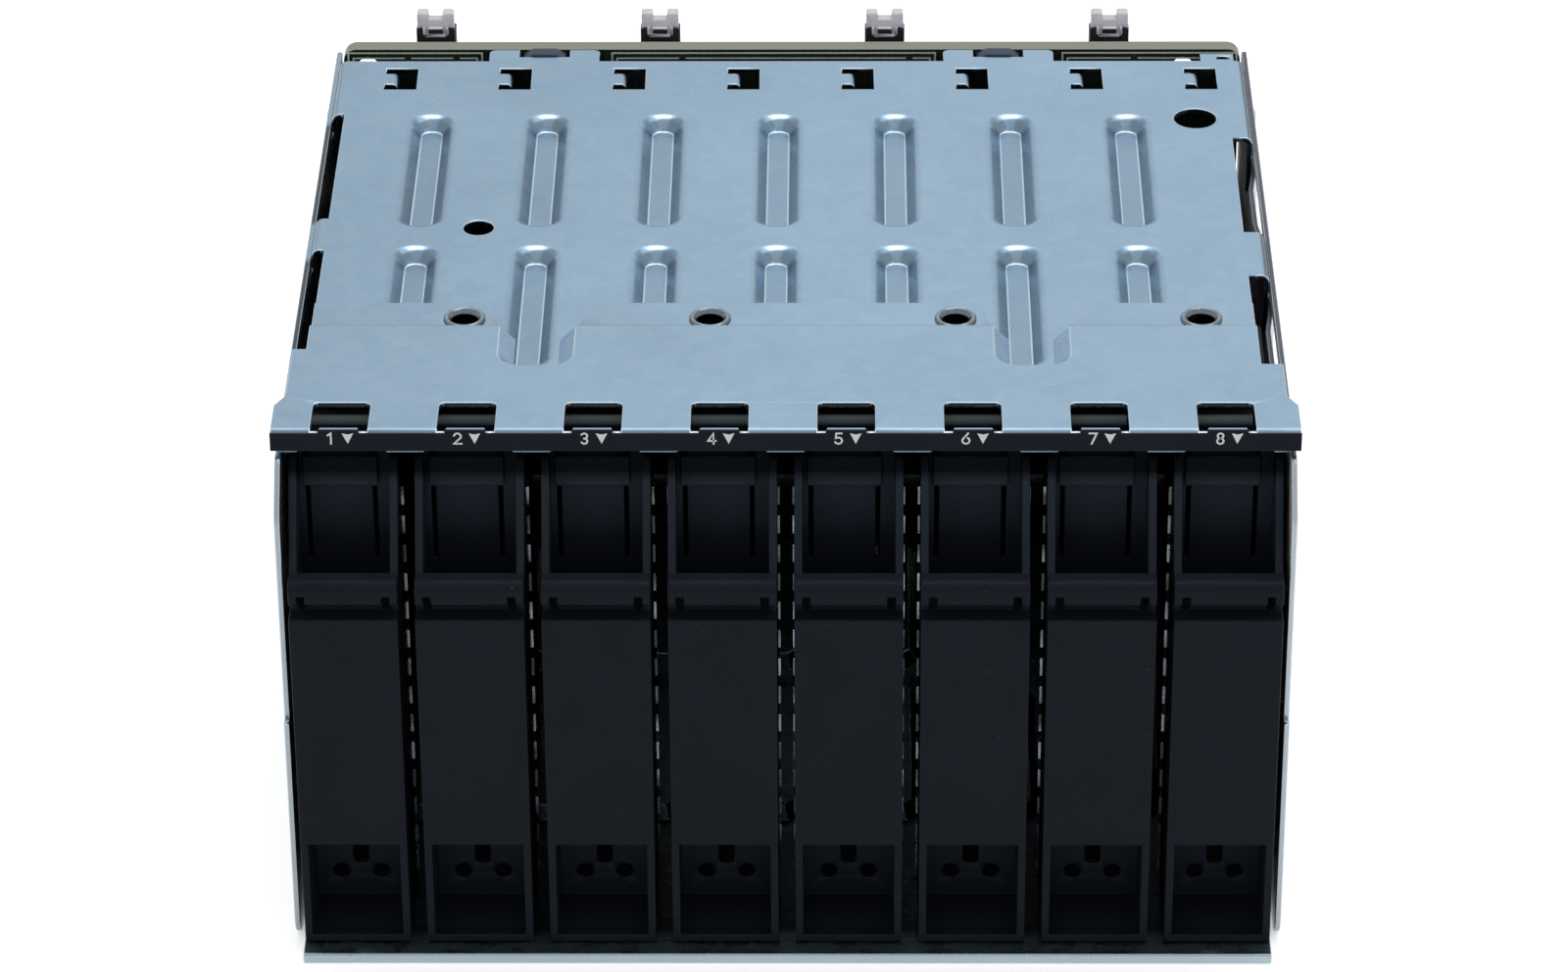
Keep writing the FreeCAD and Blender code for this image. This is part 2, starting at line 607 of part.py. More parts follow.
def make_top_panel():
    body = new_body("top_panel")
    under = "(cage_height - sheet_gauge)"
    edge = f"({INNER} - seat_gap)"
    section = fold_section("cage_height", "-1", edge)
    extrude(body, "folded_sheet", "XZ_Plane", FOLD_FRONT, REAR, [section])
    reach = f"({BOARD_FRONT} - seat_gap)"
    tabs = [
        rectangle(f"{x} - tab_width / 2", f"{x} + tab_width / 2", f"{REAR} - cut_spare", reach)
        for x in tab_centres()
    ]
    ear_east = f"({INNER} - ear_tab_inset)"
    ear_west = f"({ear_east} - ear_tab_width)"
    tabs.append(rectangle(ear_west, ear_east, f"{REAR} - cut_spare", f"{REAR} + ear_tab_reach"))
    extrude(body, "rear_tabs", "XY_Plane", under, "cage_height", tabs)
    round_edges(
        body, "tab_corners", "sheet_corner",
        lambda edge, middle: abs(edge.tangentAt(edge.FirstParameter).z) > 0.9
        and abs(middle.y - value(reach)) < 0.01,
    )
    low, high = "(cage_height - fold_height - cut_spare)", "(cage_height + cut_spare)"
    cut_side_notches(body, low, high)
    clip_notches = [
        rectangle(
            f"{x} - tab_notch_width / 2", f"{x} + tab_notch_width / 2",
            f"{reach} - tab_notch_depth", f"{reach} + cut_spare",
        )
        for x in tab_centres()
    ]
    slot_east = f"({ear_east} - ear_slot_margin)"
    slot_front = f"({REAR} + ear_slot_margin)"
    ear_slot = rectangle(
        f"{slot_east} - ear_slot_width", slot_east, slot_front, f"{slot_front} + ear_slot_length"
    )
    holes = [
        (f"({bay(2)} + rib_shift)", f"({REAR} - small_hole_margin)", "small_hole"),
        (bay("bay_count"), f"({REAR} - large_hole_margin)", "large_hole"),
    ]
    through = (f"{under} - cut_spare", high)
    outlines = clip_notches + [ear_slot]
    circles = holes + eyelet_circles("eyelet_barrel + slide_gap")
    extrude(body, "holes", "XY_Plane", *through, outlines, circles, cut=True)
    add_rear_slots(body, under)
    add_ribs(body, "cage_height", "-1")
    for side in ("-1", "1"):
        low = f"({side} * {INNER} - 2 * sheet_gauge)"
        high = f"({side} * {INNER} + 2 * sheet_gauge)"
        cut_rivet_holes(body, low, high, ("(cage_height - rivet_height)",))


def add_rear_slots(body, under):
    """Cut a row of slots near the rear edge, each with a tongue bent down at its left."""
    x = f"({bay(1)} + slot_shift)"
    west = f"({x} - slot_width / 2)"
    east = f"({x} + slot_width / 2)"
    rear = f"({REAR} - slot_margin)"
    front = f"({rear} - slot_length)"
    middle = f"({front} + slot_length / 2)"
    tip = f"({west} + slot_tongue_length)"
    half = "(slot_tongue_width / 2)"
    outline = [
        (west, front), (east, front), (east, rear), (west, rear),
        (west, f"{middle} + {half}"), (tip, f"{middle} + {half}"),
        (tip, f"{middle} - {half}"), (west, f"{middle} - {half}"),
    ]
    low, high = f"{under} - cut_spare", "cage_height + cut_spare"
    slot = extrude(body, "rear_slot", "XY_Plane", low, high, [outline], cut=True)
    bend = [
        (f"{tip} - cut_spare", "cage_height"),
        (f"{tip} + sheet_gauge", "cage_height", "sheet_gauge"),
        (f"{tip} + sheet_gauge", f"{under} - sheet_gauge"),
        (tip, f"{under} - sheet_gauge"),
        (tip, under),
        (f"{tip} - cut_spare", under),
    ]
    tongue = extrude(
        body, "slot_tongue", "XZ_Plane", f"{middle} - {half}", f"{middle} + {half}", [bend]
    )
    repeat(body, "rear_slots", [slot, tongue], "X_Axis", "bay_pitch", "bay_count")


def make_base_panel():
    body = new_body("base_panel")
    edge = f"({INNER} - seat_gap)"
    extrude(body, "folded_sheet", "XZ_Plane", FOLD_FRONT, REAR, [fold_section("0", "1", edge)])
    hem_edge = f"({INNER} - hem_inset)"
    hem = [
        (FRONT, "0", "edge_round"),
        (f"{FOLD_FRONT} + cut_spare", "0"),
        (f"{FOLD_FRONT} + cut_spare", "sheet_gauge"),
        (f"{FRONT} + hem_length", "sheet_gauge"),
        (f"{FRONT} + hem_length", "2 * sheet_gauge"),
        (FRONT, "2 * sheet_gauge", "edge_round"),
    ]
    extrude(body, "hem", "YZ_Plane", f"-{hem_edge}", hem_edge, [hem])
    tail = rectangle(f"-{hem_edge}", hem_edge, f"{REAR} - cut_spare", BOARD_REAR)
    extrude(body, "tail", "XY_Plane", "0", "sheet_gauge", [tail])
    add_ribs(body, "0", "1")
    for side in ("-1", "1"):
        low = f"({side} * {INNER} - 2 * sheet_gauge)"
        high = f"({side} * {INNER} + 2 * sheet_gauge)"
        cut_rivet_holes(body, low, high, ("rivet_height",))


def make_side_wall(side):
    body = new_body(f"{side}_side_wall")
    sign = "-1" if side == "left" else "1"
    low, high = (f"-{OUTER}", f"-{INNER}") if side == "left" else (INNER, OUTER)
    front = f"({FRONT} + wall_setback)"
    nose = "(cage_height - wall_nose_drop)"
    outline = [
        (front, "0", "wall_corner"),
        (BOARD_REAR, "0", "sheet_corner"),
        (BOARD_REAR, WALL_TOP, "sheet_corner"),
        (f"{FRONT} + wall_top_setback", WALL_TOP, "wall_top_corner"),
        (f"{front} + wall_step", nose, "wall_corner"),
        (f"{front} + wall_step", "wall_step_height"),
        (front, "wall_step_height"),
    ]
    extrude(body, "plate", "YZ_Plane", low, high, [outline])
    leaf_top = "(cage_height - leaf_drop)"
    leaf_foot = f"({leaf_top} - leaf_height)"
    windows = [rectangle(start, end, leaf_foot, leaf_top) for start, end in notch_ranges(side)]
    through = (f"{low} - cut_spare", f"{high} + cut_spare")
    extrude(body, "leaf_windows", "YZ_Plane", *through, windows, cut=True)
    leaves = [leaf_outline(side, sign, start, end) for start, end in notch_ranges(side)]
    extrude(body, "leaves", "XY_Plane", leaf_foot, f"{leaf_top} - leaf_slit", leaves)
    floors = [louvre_outline(side, sign, start, end) for start, end in notch_ranges(side)]
    extrude(body, "louvre_floors", "XY_Plane", leaf_foot, f"{leaf_foot} + sheet_gauge", floors)
    heights = ("(cage_height - rivet_height)", "rivet_height")
    cut_rivet_holes(body, *through, heights)


def leaf_outline(side, sign, start, end):
    """Return a leaf seen from above: it leaves the wall, bows and comes back."""
    outside = f"{sign} * {OUTER}"
    inside = f"{sign} * {INNER}"
    bowed_out = f"{sign} * ({OUTER} - leaf_bow_{side})"
    bowed_in = f"{sign} * ({INNER} - leaf_bow_{side})"
    return [
        (outside, f"{start} - leaf_root"),
        (outside, f"{start} + leaf_root"),
        (bowed_out, f"{start} + leaf_ramp", "leaf_bend"),
        (bowed_out, f"{end} - leaf_ramp", "leaf_bend"),
        (outside, f"{end} - leaf_root"),
        (outside, f"{end} + leaf_root"),
        (inside, f"{end} + leaf_root"),
        (inside, f"{end} - leaf_root"),
        (bowed_in, f"{end} - leaf_ramp", "leaf_bend"),
        (bowed_in, f"{start} + leaf_ramp", "leaf_bend"),
        (inside, f"{start} + leaf_root"),
        (inside, f"{start} - leaf_root"),
    ]


def louvre_outline(side, sign, start, end):
    """Return the floor that closes the space between a leaf and the wall."""
    plane = f"{sign} * ({INNER} + sheet_gauge / 2)"
    bowed = f"{sign} * ({INNER} + sheet_gauge / 2 - leaf_bow_{side})"
    return [
        (plane, f"{start} - leaf_root"),
        (bowed, f"{start} + leaf_ramp"),
        (bowed, f"{end} - leaf_ramp"),
        (plane, f"{end} + leaf_root"),
    ]


def make_front_header():
    body = new_body("front_header")
    half = f"({OUTER} + ear_overhang)"
    under = f"({HEADER_TOP} - sheet_gauge)"
    step_end = f"({STEP} + step_run)"
    flange_top = "(cage_height + seat_gap + sheet_gauge)"
    flange_under = "(cage_height + seat_gap)"
    inner_bend = "(bend_outside - sheet_gauge)"
    drop = f"({HEADER_TOP} - {flange_top})"
    lead = f"(sheet_gauge * (sqrt(step_run ^ 2 + {drop} ^ 2) - step_run) / {drop})"
    section = [
        (LIP, LIP_FOOT),
        (f"{LIP} + sheet_gauge", LIP_FOOT),
        (f"{LIP} + sheet_gauge", under, inner_bend),
        (f"{STEP} - {lead}", under),
        (f"{step_end} - {lead}", flange_under),
        (FLANGE_END, flange_under),
        (FLANGE_END, flange_top),
        (step_end, flange_top),
        (STEP, HEADER_TOP, "bend_outside"),
        (LIP, HEADER_TOP, "bend_outside"),
    ]
    extrude(body, "folded_sheet", "YZ_Plane", f"-{half}", half, [section])
    low, high = f"({LIP_FOOT} - cut_spare)", f"({HEADER_TOP} + cut_spare)"
    trim_header_sides(body, half, low, high)
    cut_side_notches(body, "(cage_height - cut_spare)", high)
    cut_reliefs(body, under)
    extrude(
        body, "eyelet_holes", "XY_Plane", low, high,
        circles=eyelet_circles("eyelet_barrel + slide_gap"), cut=True,
    )
    add_windows(body, under, high)
    tongues = []
    for number in range(0, int(value("bay_count")) + 1):
        middle = boundary(number)
        west = f"({middle} - lip_tongue_width / 2)" if number else f"-({half} - lip_tongue_drop)"
        east = f"({middle} + lip_tongue_width / 2)"
        if number == int(value("bay_count")):
            east = f"({half} - lip_tongue_drop)"
        tongues.append([
            (west, f"{LIP_FOOT} + sheet_gauge"), (west, LIP_FOOT),
            (f"{west} + lip_tongue_drop", f"{LIP_FOOT} - lip_tongue_drop"),
            (f"{east} - lip_tongue_drop", f"{LIP_FOOT} - lip_tongue_drop"),
            (east, LIP_FOOT), (east, f"{LIP_FOOT} + sheet_gauge"),
        ])
    extrude(body, "lip_tongues", "XZ_Plane", LIP, f"({LIP} + sheet_gauge)", tongues)


def trim_header_sides(body, half, low, high):
    """Cut the header back to the cage's width behind its ears."""
    ear_end = f"({LIP} + ear_depth)"
    body_start = f"({ear_end} + ear_chamfer)"
    outlines = []
    for sign in ("-1", "1"):
        inner = f"{sign} * {INNER}"
        outlines.append([
            (f"{sign} * ({half} + cut_spare)", f"{ear_end} - ear_chamfer"),
            (f"{sign} * {half}", f"{ear_end}"),
            (inner, body_start),
            (inner, f"{FLANGE_END} + cut_spare"),
            (f"{sign} * ({half} + cut_spare)", f"{FLANGE_END} + cut_spare"),
        ])
    extrude(body, "side_trim", "XY_Plane", low, high, outlines, cut=True)


def relief_bays():
    """Return the bay boundaries whose ribs the header leaves open."""
    count = int(value("bay_count"))
    return (count // 4, count - count // 4)


def cut_reliefs(body, under):
    """Leave two ribs open, each in a relief whose walls slope down to the top panel."""
    back = f"({STEP} - relief_reach)"
    floor = "(cage_height + seat_gap)"
    for number in relief_bays():
        x = f"({boundary(number)} + window_shift)"

        def outline(width, radius, spare):
            half = f"(({width}) / 2)"
            return [
                (f"{x} - {half}", f"{back} + {spare}", radius),
                (f"{x} + {half}", f"{back} + {spare}", radius),
                (f"{x} + {half}", STEP),
                (f"{x} - {half}", STEP),
            ]

        slope = "((relief_width - relief_floor) / 2)"
        bottom_radius = f"(relief_radius - {slope})"
        loft(
            body, f"relief_wall_{number}", floor, f"({under} + sheet_gauge / 2)",
            outline(
                "relief_floor + 2 * sheet_gauge", f"{bottom_radius} + sheet_gauge",
                f"({slope} - sheet_gauge)",
            ),
            outline("relief_width + 2 * sheet_gauge", "relief_radius + sheet_gauge", "(-sheet_gauge)"),
        )
        loft(
            body, f"relief_{number}", floor, HEADER_TOP,
            outline("relief_floor", bottom_radius, slope),
            outline("relief_width", "relief_radius", "0"),
            cut=True,
        )
        mouth = [
            (f"{x} - relief_width / 2", f"{STEP} - cut_spare"),
            (f"{x} + relief_width / 2", f"{STEP} - cut_spare"),
            (f"{x} + relief_width / 2", f"{STEP} + step_run"),
            (f"{x} + relief_mouth / 2", f"{FLANGE_END} + cut_spare"),
            (f"{x} - relief_mouth / 2", f"{FLANGE_END} + cut_spare"),
            (f"{x} - relief_width / 2", f"{STEP} + step_run"),
        ]
        high = f"({HEADER_TOP} + cut_spare)"
        extrude(body, f"relief_mouth_{number}", "XY_Plane", floor, high, [mouth], cut=True)


def add_windows(body, under, high):
    """Cut the row of latch windows, each down to a sill in the lip."""
    x = f"({bay(1)} + window_shift)"
    west = f"({x} - window_width / 2)"
    east = f"({x} + window_width / 2)"
    back = f"({LIP} + window_depth)"
    outline = [
        (west, f"{LIP} + sheet_gauge"), (east, f"{LIP} + sheet_gauge"),
        (east, back, "window_radius"), (west, back, "window_radius"),
    ]
    window = extrude(body, "window", "XY_Plane", f"{under} - cut_spare", high, [outline], cut=True)
    sill = extrude(
        body, "window_sill", "XY_Plane", f"{HEADER_TOP} - window_sill", high,
        [rectangle(west, east, f"{LIP} - cut_spare", f"{LIP} + 2 * sheet_gauge")], cut=True,
    )
    tongue = extrude(
        body, "sill_tongue", "XZ_Plane", LIP, f"({LIP} + sheet_gauge)",
        [rectangle(
            f"{x} - sill_tongue_width / 2", f"{x} + sill_tongue_width / 2",
            f"{HEADER_TOP} - lip_height / 2", f"{HEADER_TOP} + sill_tongue_rise",
        )],
    )
    repeat(body, "windows", [window, sill, tongue], "X_Axis", "bay_pitch", "bay_count")


def make_number_strip():
    body = new_body("number_strip")
    half = f"({OUTER} + ear_overhang)"
    top = f"({HEADER_TOP} - strip_margin)"
    front, back = f"({LIP} - seat_gap - strip_gauge)", f"({LIP} - seat_gap)"
    extrude(body, "strip", "XZ_Plane", front, back, [rectangle(f"-{half}", half, LIP_FOOT, top)])
    x = f"({bay(1)} + window_shift)"
    tab = rectangle(
        f"{x} - strip_tab_width / 2", f"{x} + strip_tab_width / 2",
        f"{top} - strip_tab_rise", f"{top} + strip_tab_rise",
    )
    feature = extrude(body, "number_tab", "XZ_Plane", front, back, [tab])
    repeat(body, "number_tabs", [feature], "X_Axis", "bay_pitch", "bay_count")


# Rivets

def revolve(body, name, outline, plane="XZ_Plane"):
    """Turn an outline, drawn in radius and height, about Z."""
    sketch = new_sketch(body, f"{name}_sketch", plane, "0")
    draw(sketch, outline)
    feature = body.newObject("PartDesign::Revolution", name)
    feature.Profile = sketch
    feature.ReferenceAxis = (sketch, ["V_Axis"])
    feature.Angle = 360
    doc.recompute()
    return feature


def group(name, copies):
    """Gather identical pieces into one node of separate solids."""
    node = doc.addObject("Part::Compound", name)
    node.Label = name
    node.Links = copies
    OUTPUT.append(node)


def make_eyelets():
    pieces = []
    seat = "(cage_height + 2 * seat_gap + sheet_gauge)"
    top = f"({seat} + eyelet_rise)"
    for number in eyelet_bays():
        body = doc.addObject("PartDesign::Body", f"eyelet_{number}")
        outline = [
            ("eyelet_bore / 2", "cage_height - sheet_gauge"),
            ("eyelet_barrel / 2", "cage_height - sheet_gauge"),
            ("eyelet_barrel / 2", seat),
            ("eyelet_head / 2", seat),
            ("eyelet_head / 2", f"{top} - eyelet_chamfer"),
            ("eyelet_head / 2 - eyelet_chamfer", top),
            ("eyelet_bore / 2 + eyelet_funnel", top),
            ("eyelet_bore / 2", f"{top} - eyelet_funnel"),
        ]
        revolve(body, "turned", outline)
        place(body, f"{bay(number)} + eyelet_shift")
        body.setExpression("Placement.Base.y", tie(f"{FLANGE_END} - eyelet_margin"))
        pieces.append(body)
    group("header_eyelets", pieces)


def make_side_rivets():
    pieces = []
    face = f"({OUTER} + seat_gap)"
    for sign in ("-1", "1"):
        for y, z in rivet_places():
            body = doc.addObject("PartDesign::Body", f"rivet_{len(pieces) + 1}")
            shank = [
                ("0", f"{INNER} - sheet_gauge"),
                ("rivet_shank / 2", f"{INNER} - sheet_gauge"),
                ("rivet_shank / 2", face),
                ("rivet_head / 2", face),
                ("rivet_head / 2 - rivet_chamfer", f"{face} + rivet_rise"),
                ("0", f"{face} + rivet_rise"),
            ]
            revolve(body, "turned", shank)
            turn = FreeCAD.Rotation(Vector(0, 1, 0), 90 if sign == "1" else -90)
            body.Placement = FreeCAD.Placement(Vector(0, 0, 0), turn)
            body.setExpression("Placement.Base.y", tie(y))
            body.setExpression("Placement.Base.z", tie(z))
            pieces.append(body)
    group("side_rivets", pieces)


# Blanks

def make_blank(number):
    """Mould one blank: a flat face, a lower pocket, a pull bar and a latch in a recess."""
    body = new_body(f"blank_{number}")
    groove_top = f"({PLATE_TOP} + groove_height)"
    bar_top = f"({groove_top} + bar_height)"
    bar_front = f"({FACE} + bar_setback)"
    bar_back = f"({bar_front} + bar_thickness)"
    outline = [
        (FACE, FOOT),
        (FRAME_REAR, FOOT),
        (FRAME_REAR, CHEEK_TOP),
        (f"{bar_back} + cheek_lean", CHEEK_TOP, "cheek_round"),
        (bar_back, bar_top),
        (bar_front, bar_top, "bar_radius"),
        (bar_front, groove_top, "edge_round"),
        (f"{FACE} + groove_depth", groove_top),
        (f"{FACE} + groove_depth", PLATE_TOP),
        (FACE, PLATE_TOP),
    ]
    half = HALF_BLANK
    extrude(body, "front_frame", "YZ_Plane", f"-{half}", half, [outline])
    rear = rectangle(f"{FRAME_REAR} - cut_spare", BLANK_REAR, BODY_FOOT, BODY_TOP)
    extrude(body, "rear_body", "YZ_Plane", f"-{HALF_BODY}", HALF_BODY, [rear])
    hollow_blank(body, bar_top, bar_back)
    add_latch(body)
    cut_pocket_ports(body)
    place(body, bay(number))


def hollow_blank(body, bar_top, bar_back):
    """Cut the lower pocket, the finger recess and the hollow behind the face."""
    inside = f"({HALF_BLANK} - blank_wall)"
    ahead = f"{FACE} - cut_spare"
    above = f"{CHEEK_TOP} + cut_spare"
    behind = f"{BLANK_REAR} + cut_spare"
    pocket = rectangle(ahead, f"{FACE} + pocket_depth", f"{FOOT} + blank_wall", "pocket_top")
    extrude(body, "lower_pocket", "YZ_Plane", f"-{inside}", inside, [pocket], cut=True)
    recess = [
        (ahead, bar_top),
        (bar_back, bar_top),
        (bar_back, FINGER_FLOOR),
        (FINGER_BACK, FINGER_FLOOR, "finger_round"),
        (FINGER_BACK, above),
        (ahead, above),
    ]
    extrude(body, "finger_recess", "YZ_Plane", f"-{inside}", inside, [recess], cut=True)
    groove_top = f"({PLATE_TOP} + groove_height)"
    corners = [
        rectangle(west, east, f"{groove_top} - groove_height", f"{groove_top} + bar_notch_height")
        for west, east in (
            (f"-{inside}", f"-{inside} + bar_notch_width"), (f"{inside} - bar_notch_width", inside),
        )
    ]
    extrude(body, "bar_notches", "XZ_Plane", ahead, f"{bar_back} + cut_spare", corners, cut=True)
    bore = f"({HALF_BODY} - blank_wall)"
    back = f"({FACE} + pocket_depth + blank_wall)"
    skin = f"({FACE} + blank_wall)"
    roof = f"({FINGER_FLOOR} - blank_wall)"
    tongue = f"({FINGER_BACK} + blank_wall)"
    hollow = [
        (behind, f"{BODY_FOOT} + blank_wall"),
        (back, f"{BODY_FOOT} + blank_wall"),
        (back, "pocket_top + blank_wall"),
        (skin, "pocket_top + blank_wall"),
        (skin, roof),
        (tongue, roof),
        (tongue, f"{BODY_TOP} - blank_wall"),
        (behind, f"{BODY_TOP} - blank_wall"),
    ]
    extrude(body, "hollow", "YZ_Plane", f"-{bore}", bore, [hollow], cut=True)


def add_latch(body):
    """Add the latch's ridged top, free it from the cheeks by two slits, and add its thumb plate."""
    west, east = "(latch_shift - latch_width / 2)", "(latch_shift + latch_width / 2)"
    flat = f"({LATCH_TOP} - latch_slope)"
    end = f"({FINGER_BACK} + latch_length)"
    ridge = f"({FINGER_BACK} + latch_crown)"
    top = [
        (FINGER_BACK, f"{BODY_TOP} - blank_wall"),
        (end, f"{BODY_TOP} - blank_wall"),
        (end, f"{BODY_TOP} + seat_gap"),
        (ridge, LATCH_TOP, "edge_round"),
        (f"{ridge} - latch_ramp", flat),
        (FINGER_BACK, flat, "latch_round"),
    ]
    extrude(body, "latch_top", "YZ_Plane", west, east, [top])
    sides = ((f"{west} - latch_slit", west), (east, f"{east} + latch_slit"))
    slits = [
        rectangle(low, high, f"{FINGER_FLOOR} + slit_rise", f"{LATCH_TOP} + cut_spare")
        for low, high in sides
    ]
    extrude(body, "latch_slits", "XZ_Plane", f"({FINGER_BACK} - cut_spare)", end, slits, cut=True)
    plate_west, plate_east = "(latch_shift - thumb_width / 2)", "(latch_shift + thumb_width / 2)"
    rear = f"({FINGER_BACK} - slide_gap)"
    front = f"({rear} - thumb_gauge)"
    thumb = [
        (plate_west, front), (plate_east, front), (plate_east, rear), (east, rear),
        (east, f"{FINGER_BACK} + blank_wall / 2"), (west, f"{FINGER_BACK} + blank_wall / 2"),
        (west, rear), (plate_west, rear),
    ]
    extrude(
        body, "thumb_plate", "XY_Plane", f"({CHEEK_TOP} - thumb_drop)",
        f"({flat} - latch_round)", [thumb],
    )


def cut_pocket_ports(body):
    """Cut two holes and a notch in the back of the lower pocket."""
    z = "(pocket_top - port_drop)"
    back = f"({FACE} + pocket_depth)"
    circles = [(f"{sign} * port_spread / 2", z, "port_diameter") for sign in ("-1", "1")]
    half = "port_notch / 2"
    notch = rectangle(f"-{half}", half, "pocket_top - port_notch_depth", "pocket_top", "port_notch_round")
    notch[2] = notch[2][:2]
    notch[3] = notch[3][:2]
    low, high = f"({back} - cut_spare)", f"({back} + blank_wall + cut_spare)"
    extrude(body, "ports", "XZ_Plane", low, high, [notch], circles, cut=True)


def make_shield_spring(number):
    """Fold one spring clip: a band under the blank with a row of raised fingers up each side."""
    body = new_body(f"shield_spring_{number}")
    front = f"({FRAME_REAR} + seat_gap)"
    inside = f"({HALF_BODY} + seat_gap)"
    outside = f"({inside} + spring_gauge)"
    band = f"({BODY_FOOT} - seat_gap)"
    top = f"(finger_start + finger_pitch * {FINGER_COUNT})"
    section = [
        (f"-{outside}", top), (f"-{outside}", f"{band} - spring_gauge"),
        (outside, f"{band} - spring_gauge"), (outside, top),
        (inside, top), (inside, band), (f"-{inside}", band), (f"-{inside}", top),
    ]
    extrude(body, "clip", "XZ_Plane", front, SPRING_REAR, [section])
    tip = f"({HALF_BLANK} + finger_reach)"
    root = f"({outside} - spring_gauge / 2)"
    crest = f"({front} + finger_crest)"
    fingers = [
        [
            (f"{sign} * {root}", crest),
            (f"{sign} * {tip}", crest),
            (f"{sign} * {tip}", f"{crest} + finger_flat"),
            (f"{sign} * {root}", f"{SPRING_REAR} - finger_margin"),
        ]
        for sign in ("-1", "1")
    ]
    finger = extrude(
        body, "finger", "XY_Plane", "finger_start", "finger_start + finger_width", fingers
    )
    repeat(body, "fingers", [finger], "Z_Axis", "finger_pitch", FINGER_COUNT)
    place(body, bay(number))


# Board and sockets

def make_board():
    body = new_body("backplane_board")
    half = f"({INNER} - board_inset)"
    outline = rectangle(f"-{half}", half, "board_foot", "cage_height", "board_corner")
    extrude(body, "board", "XZ_Plane", BOARD_FRONT, BOARD_REAR, [outline])
    holes = [
        (x, height, "board_hole")
        for x in (f"(board_hole_left - {half})", f"({half} - board_hole_right)")
        for height in ("(cage_height - board_hole_drop)", "(board_foot + board_hole_drop)")
    ]
    through = (f"({BOARD_FRONT} - cut_spare)", f"({BOARD_REAR} + cut_spare)")
    extrude(body, "mounting_holes", "XZ_Plane", *through, circles=holes, cut=True)
    middle = f"({boundary(1)} + vent_shift)"
    vent = rectangle(
        f"{middle} - vent_width / 2", f"{middle} + vent_width / 2",
        "vent_foot", "vent_foot + vent_height", "vent_round",
    )
    slot = extrude(body, "vent", "XZ_Plane", *through, [vent], cut=True)
    repeat(body, "vents", [slot], "X_Axis", "bay_pitch", "bay_count - 1")


def make_drive_socket(number):
    body = new_body(f"drive_socket_{number}")
    back = f"({BOARD_FRONT} - seat_gap)"
    front = f"({back} - socket_depth)"
    half = "(socket_width / 2)"
    top = "(socket_foot + socket_height)"
    shell = rectangle(f"-{half}", half, "socket_foot", top)
    extrude(body, "shell", "XZ_Plane", front, back, [shell])
    mouth = rectangle(
        f"-{half} + socket_wall", f"{half} - socket_wall",
        "socket_foot + socket_wall", f"{top} - socket_wall",
    )
    floor = f"({back} - socket_wall)"
    extrude(body, "mouth", "XZ_Plane", f"({front} - cut_spare)", floor, [mouth], cut=True)
    blade = rectangle(
        "-blade_gauge / 2", "blade_gauge / 2",
        "socket_foot + 3 * socket_wall", f"{top} - 3 * socket_wall",
    )
    extrude(body, "blade", "XZ_Plane", f"({front} + socket_wall)", f"({back} - socket_wall / 2)", [blade])
    place(body, f"{bay(number)} + rib_shift")


def cable_centre(number):
    """Return a cable socket's place: one for every two bays."""
    return f"({boundary(2 * number - 1)} + cable_shift)"


def make_cable_socket(number):
    body = new_body(f"cable_socket_{number}")
    front = f"({BOARD_REAR} + seat_gap)"
    back = f"({front} + cable_depth)"
    half = "(cable_width / 2)"
    shoulder = "(cage_height - cable_drop)"
    tower = f"({back} - tower_depth)"
    side = [
        (front, "cable_foot"), (back, "cable_foot"),
        (back, "cage_height - tower_drop", "edge_round"), (tower, "cage_height - tower_drop"),
        (tower, shoulder), (front, shoulder, "edge_round"),
    ]
    extrude(body, "housing", "YZ_Plane", f"-{half}", half, [side])
    slot = rectangle(
        "-cable_slot / 2", "cable_slot / 2", "cable_foot + cable_wall", f"{shoulder} - cable_wall"
    )
    mouth = (f"({front} + cable_wall)", f"({back} + cut_spare)")
    extrude(body, "slot", "XZ_Plane", *mouth, [slot], cut=True)
    place(body, cable_centre(number))


def make_cable_hasp(number):
    body = new_body(f"cable_hasp_{number}")
    back = f"({BOARD_REAR} + cable_depth - tower_depth)"
    front = f"({back} - hasp_frame)"
    foot = "(cage_height - tower_drop + seat_gap)"
    top = "(cage_height + hasp_rise)"
    half = "(hasp_width / 2)"
    notch = "(hasp_notch / 2)"
    notch_floor = f"({top} - hasp_notch_depth)"
    head = [
        (f"-{half}", foot), (half, foot), (half, top, "edge_round"), (notch, top, "edge_round"),
        (notch, notch_floor), (f"-{notch}", notch_floor),
        (f"-{notch}", top, "edge_round"), (f"-{half}", top, "edge_round"),
    ]
    extrude(body, "head", "XZ_Plane", front, f"({front} + hasp_gauge)", [head])
    sill = "(cage_height - hasp_drop)"
    frame = rectangle("-hasp_frame_width / 2", "hasp_frame_width / 2", sill, f"{foot} + hasp_frame")
    eye = rectangle("-hasp_eye / 2", "hasp_eye / 2", f"{sill} + hasp_bar", f"{foot} - hasp_frame")
    extrude(body, "frame", "XZ_Plane", front, back, [frame, eye])
    place(body, cable_centre(number))


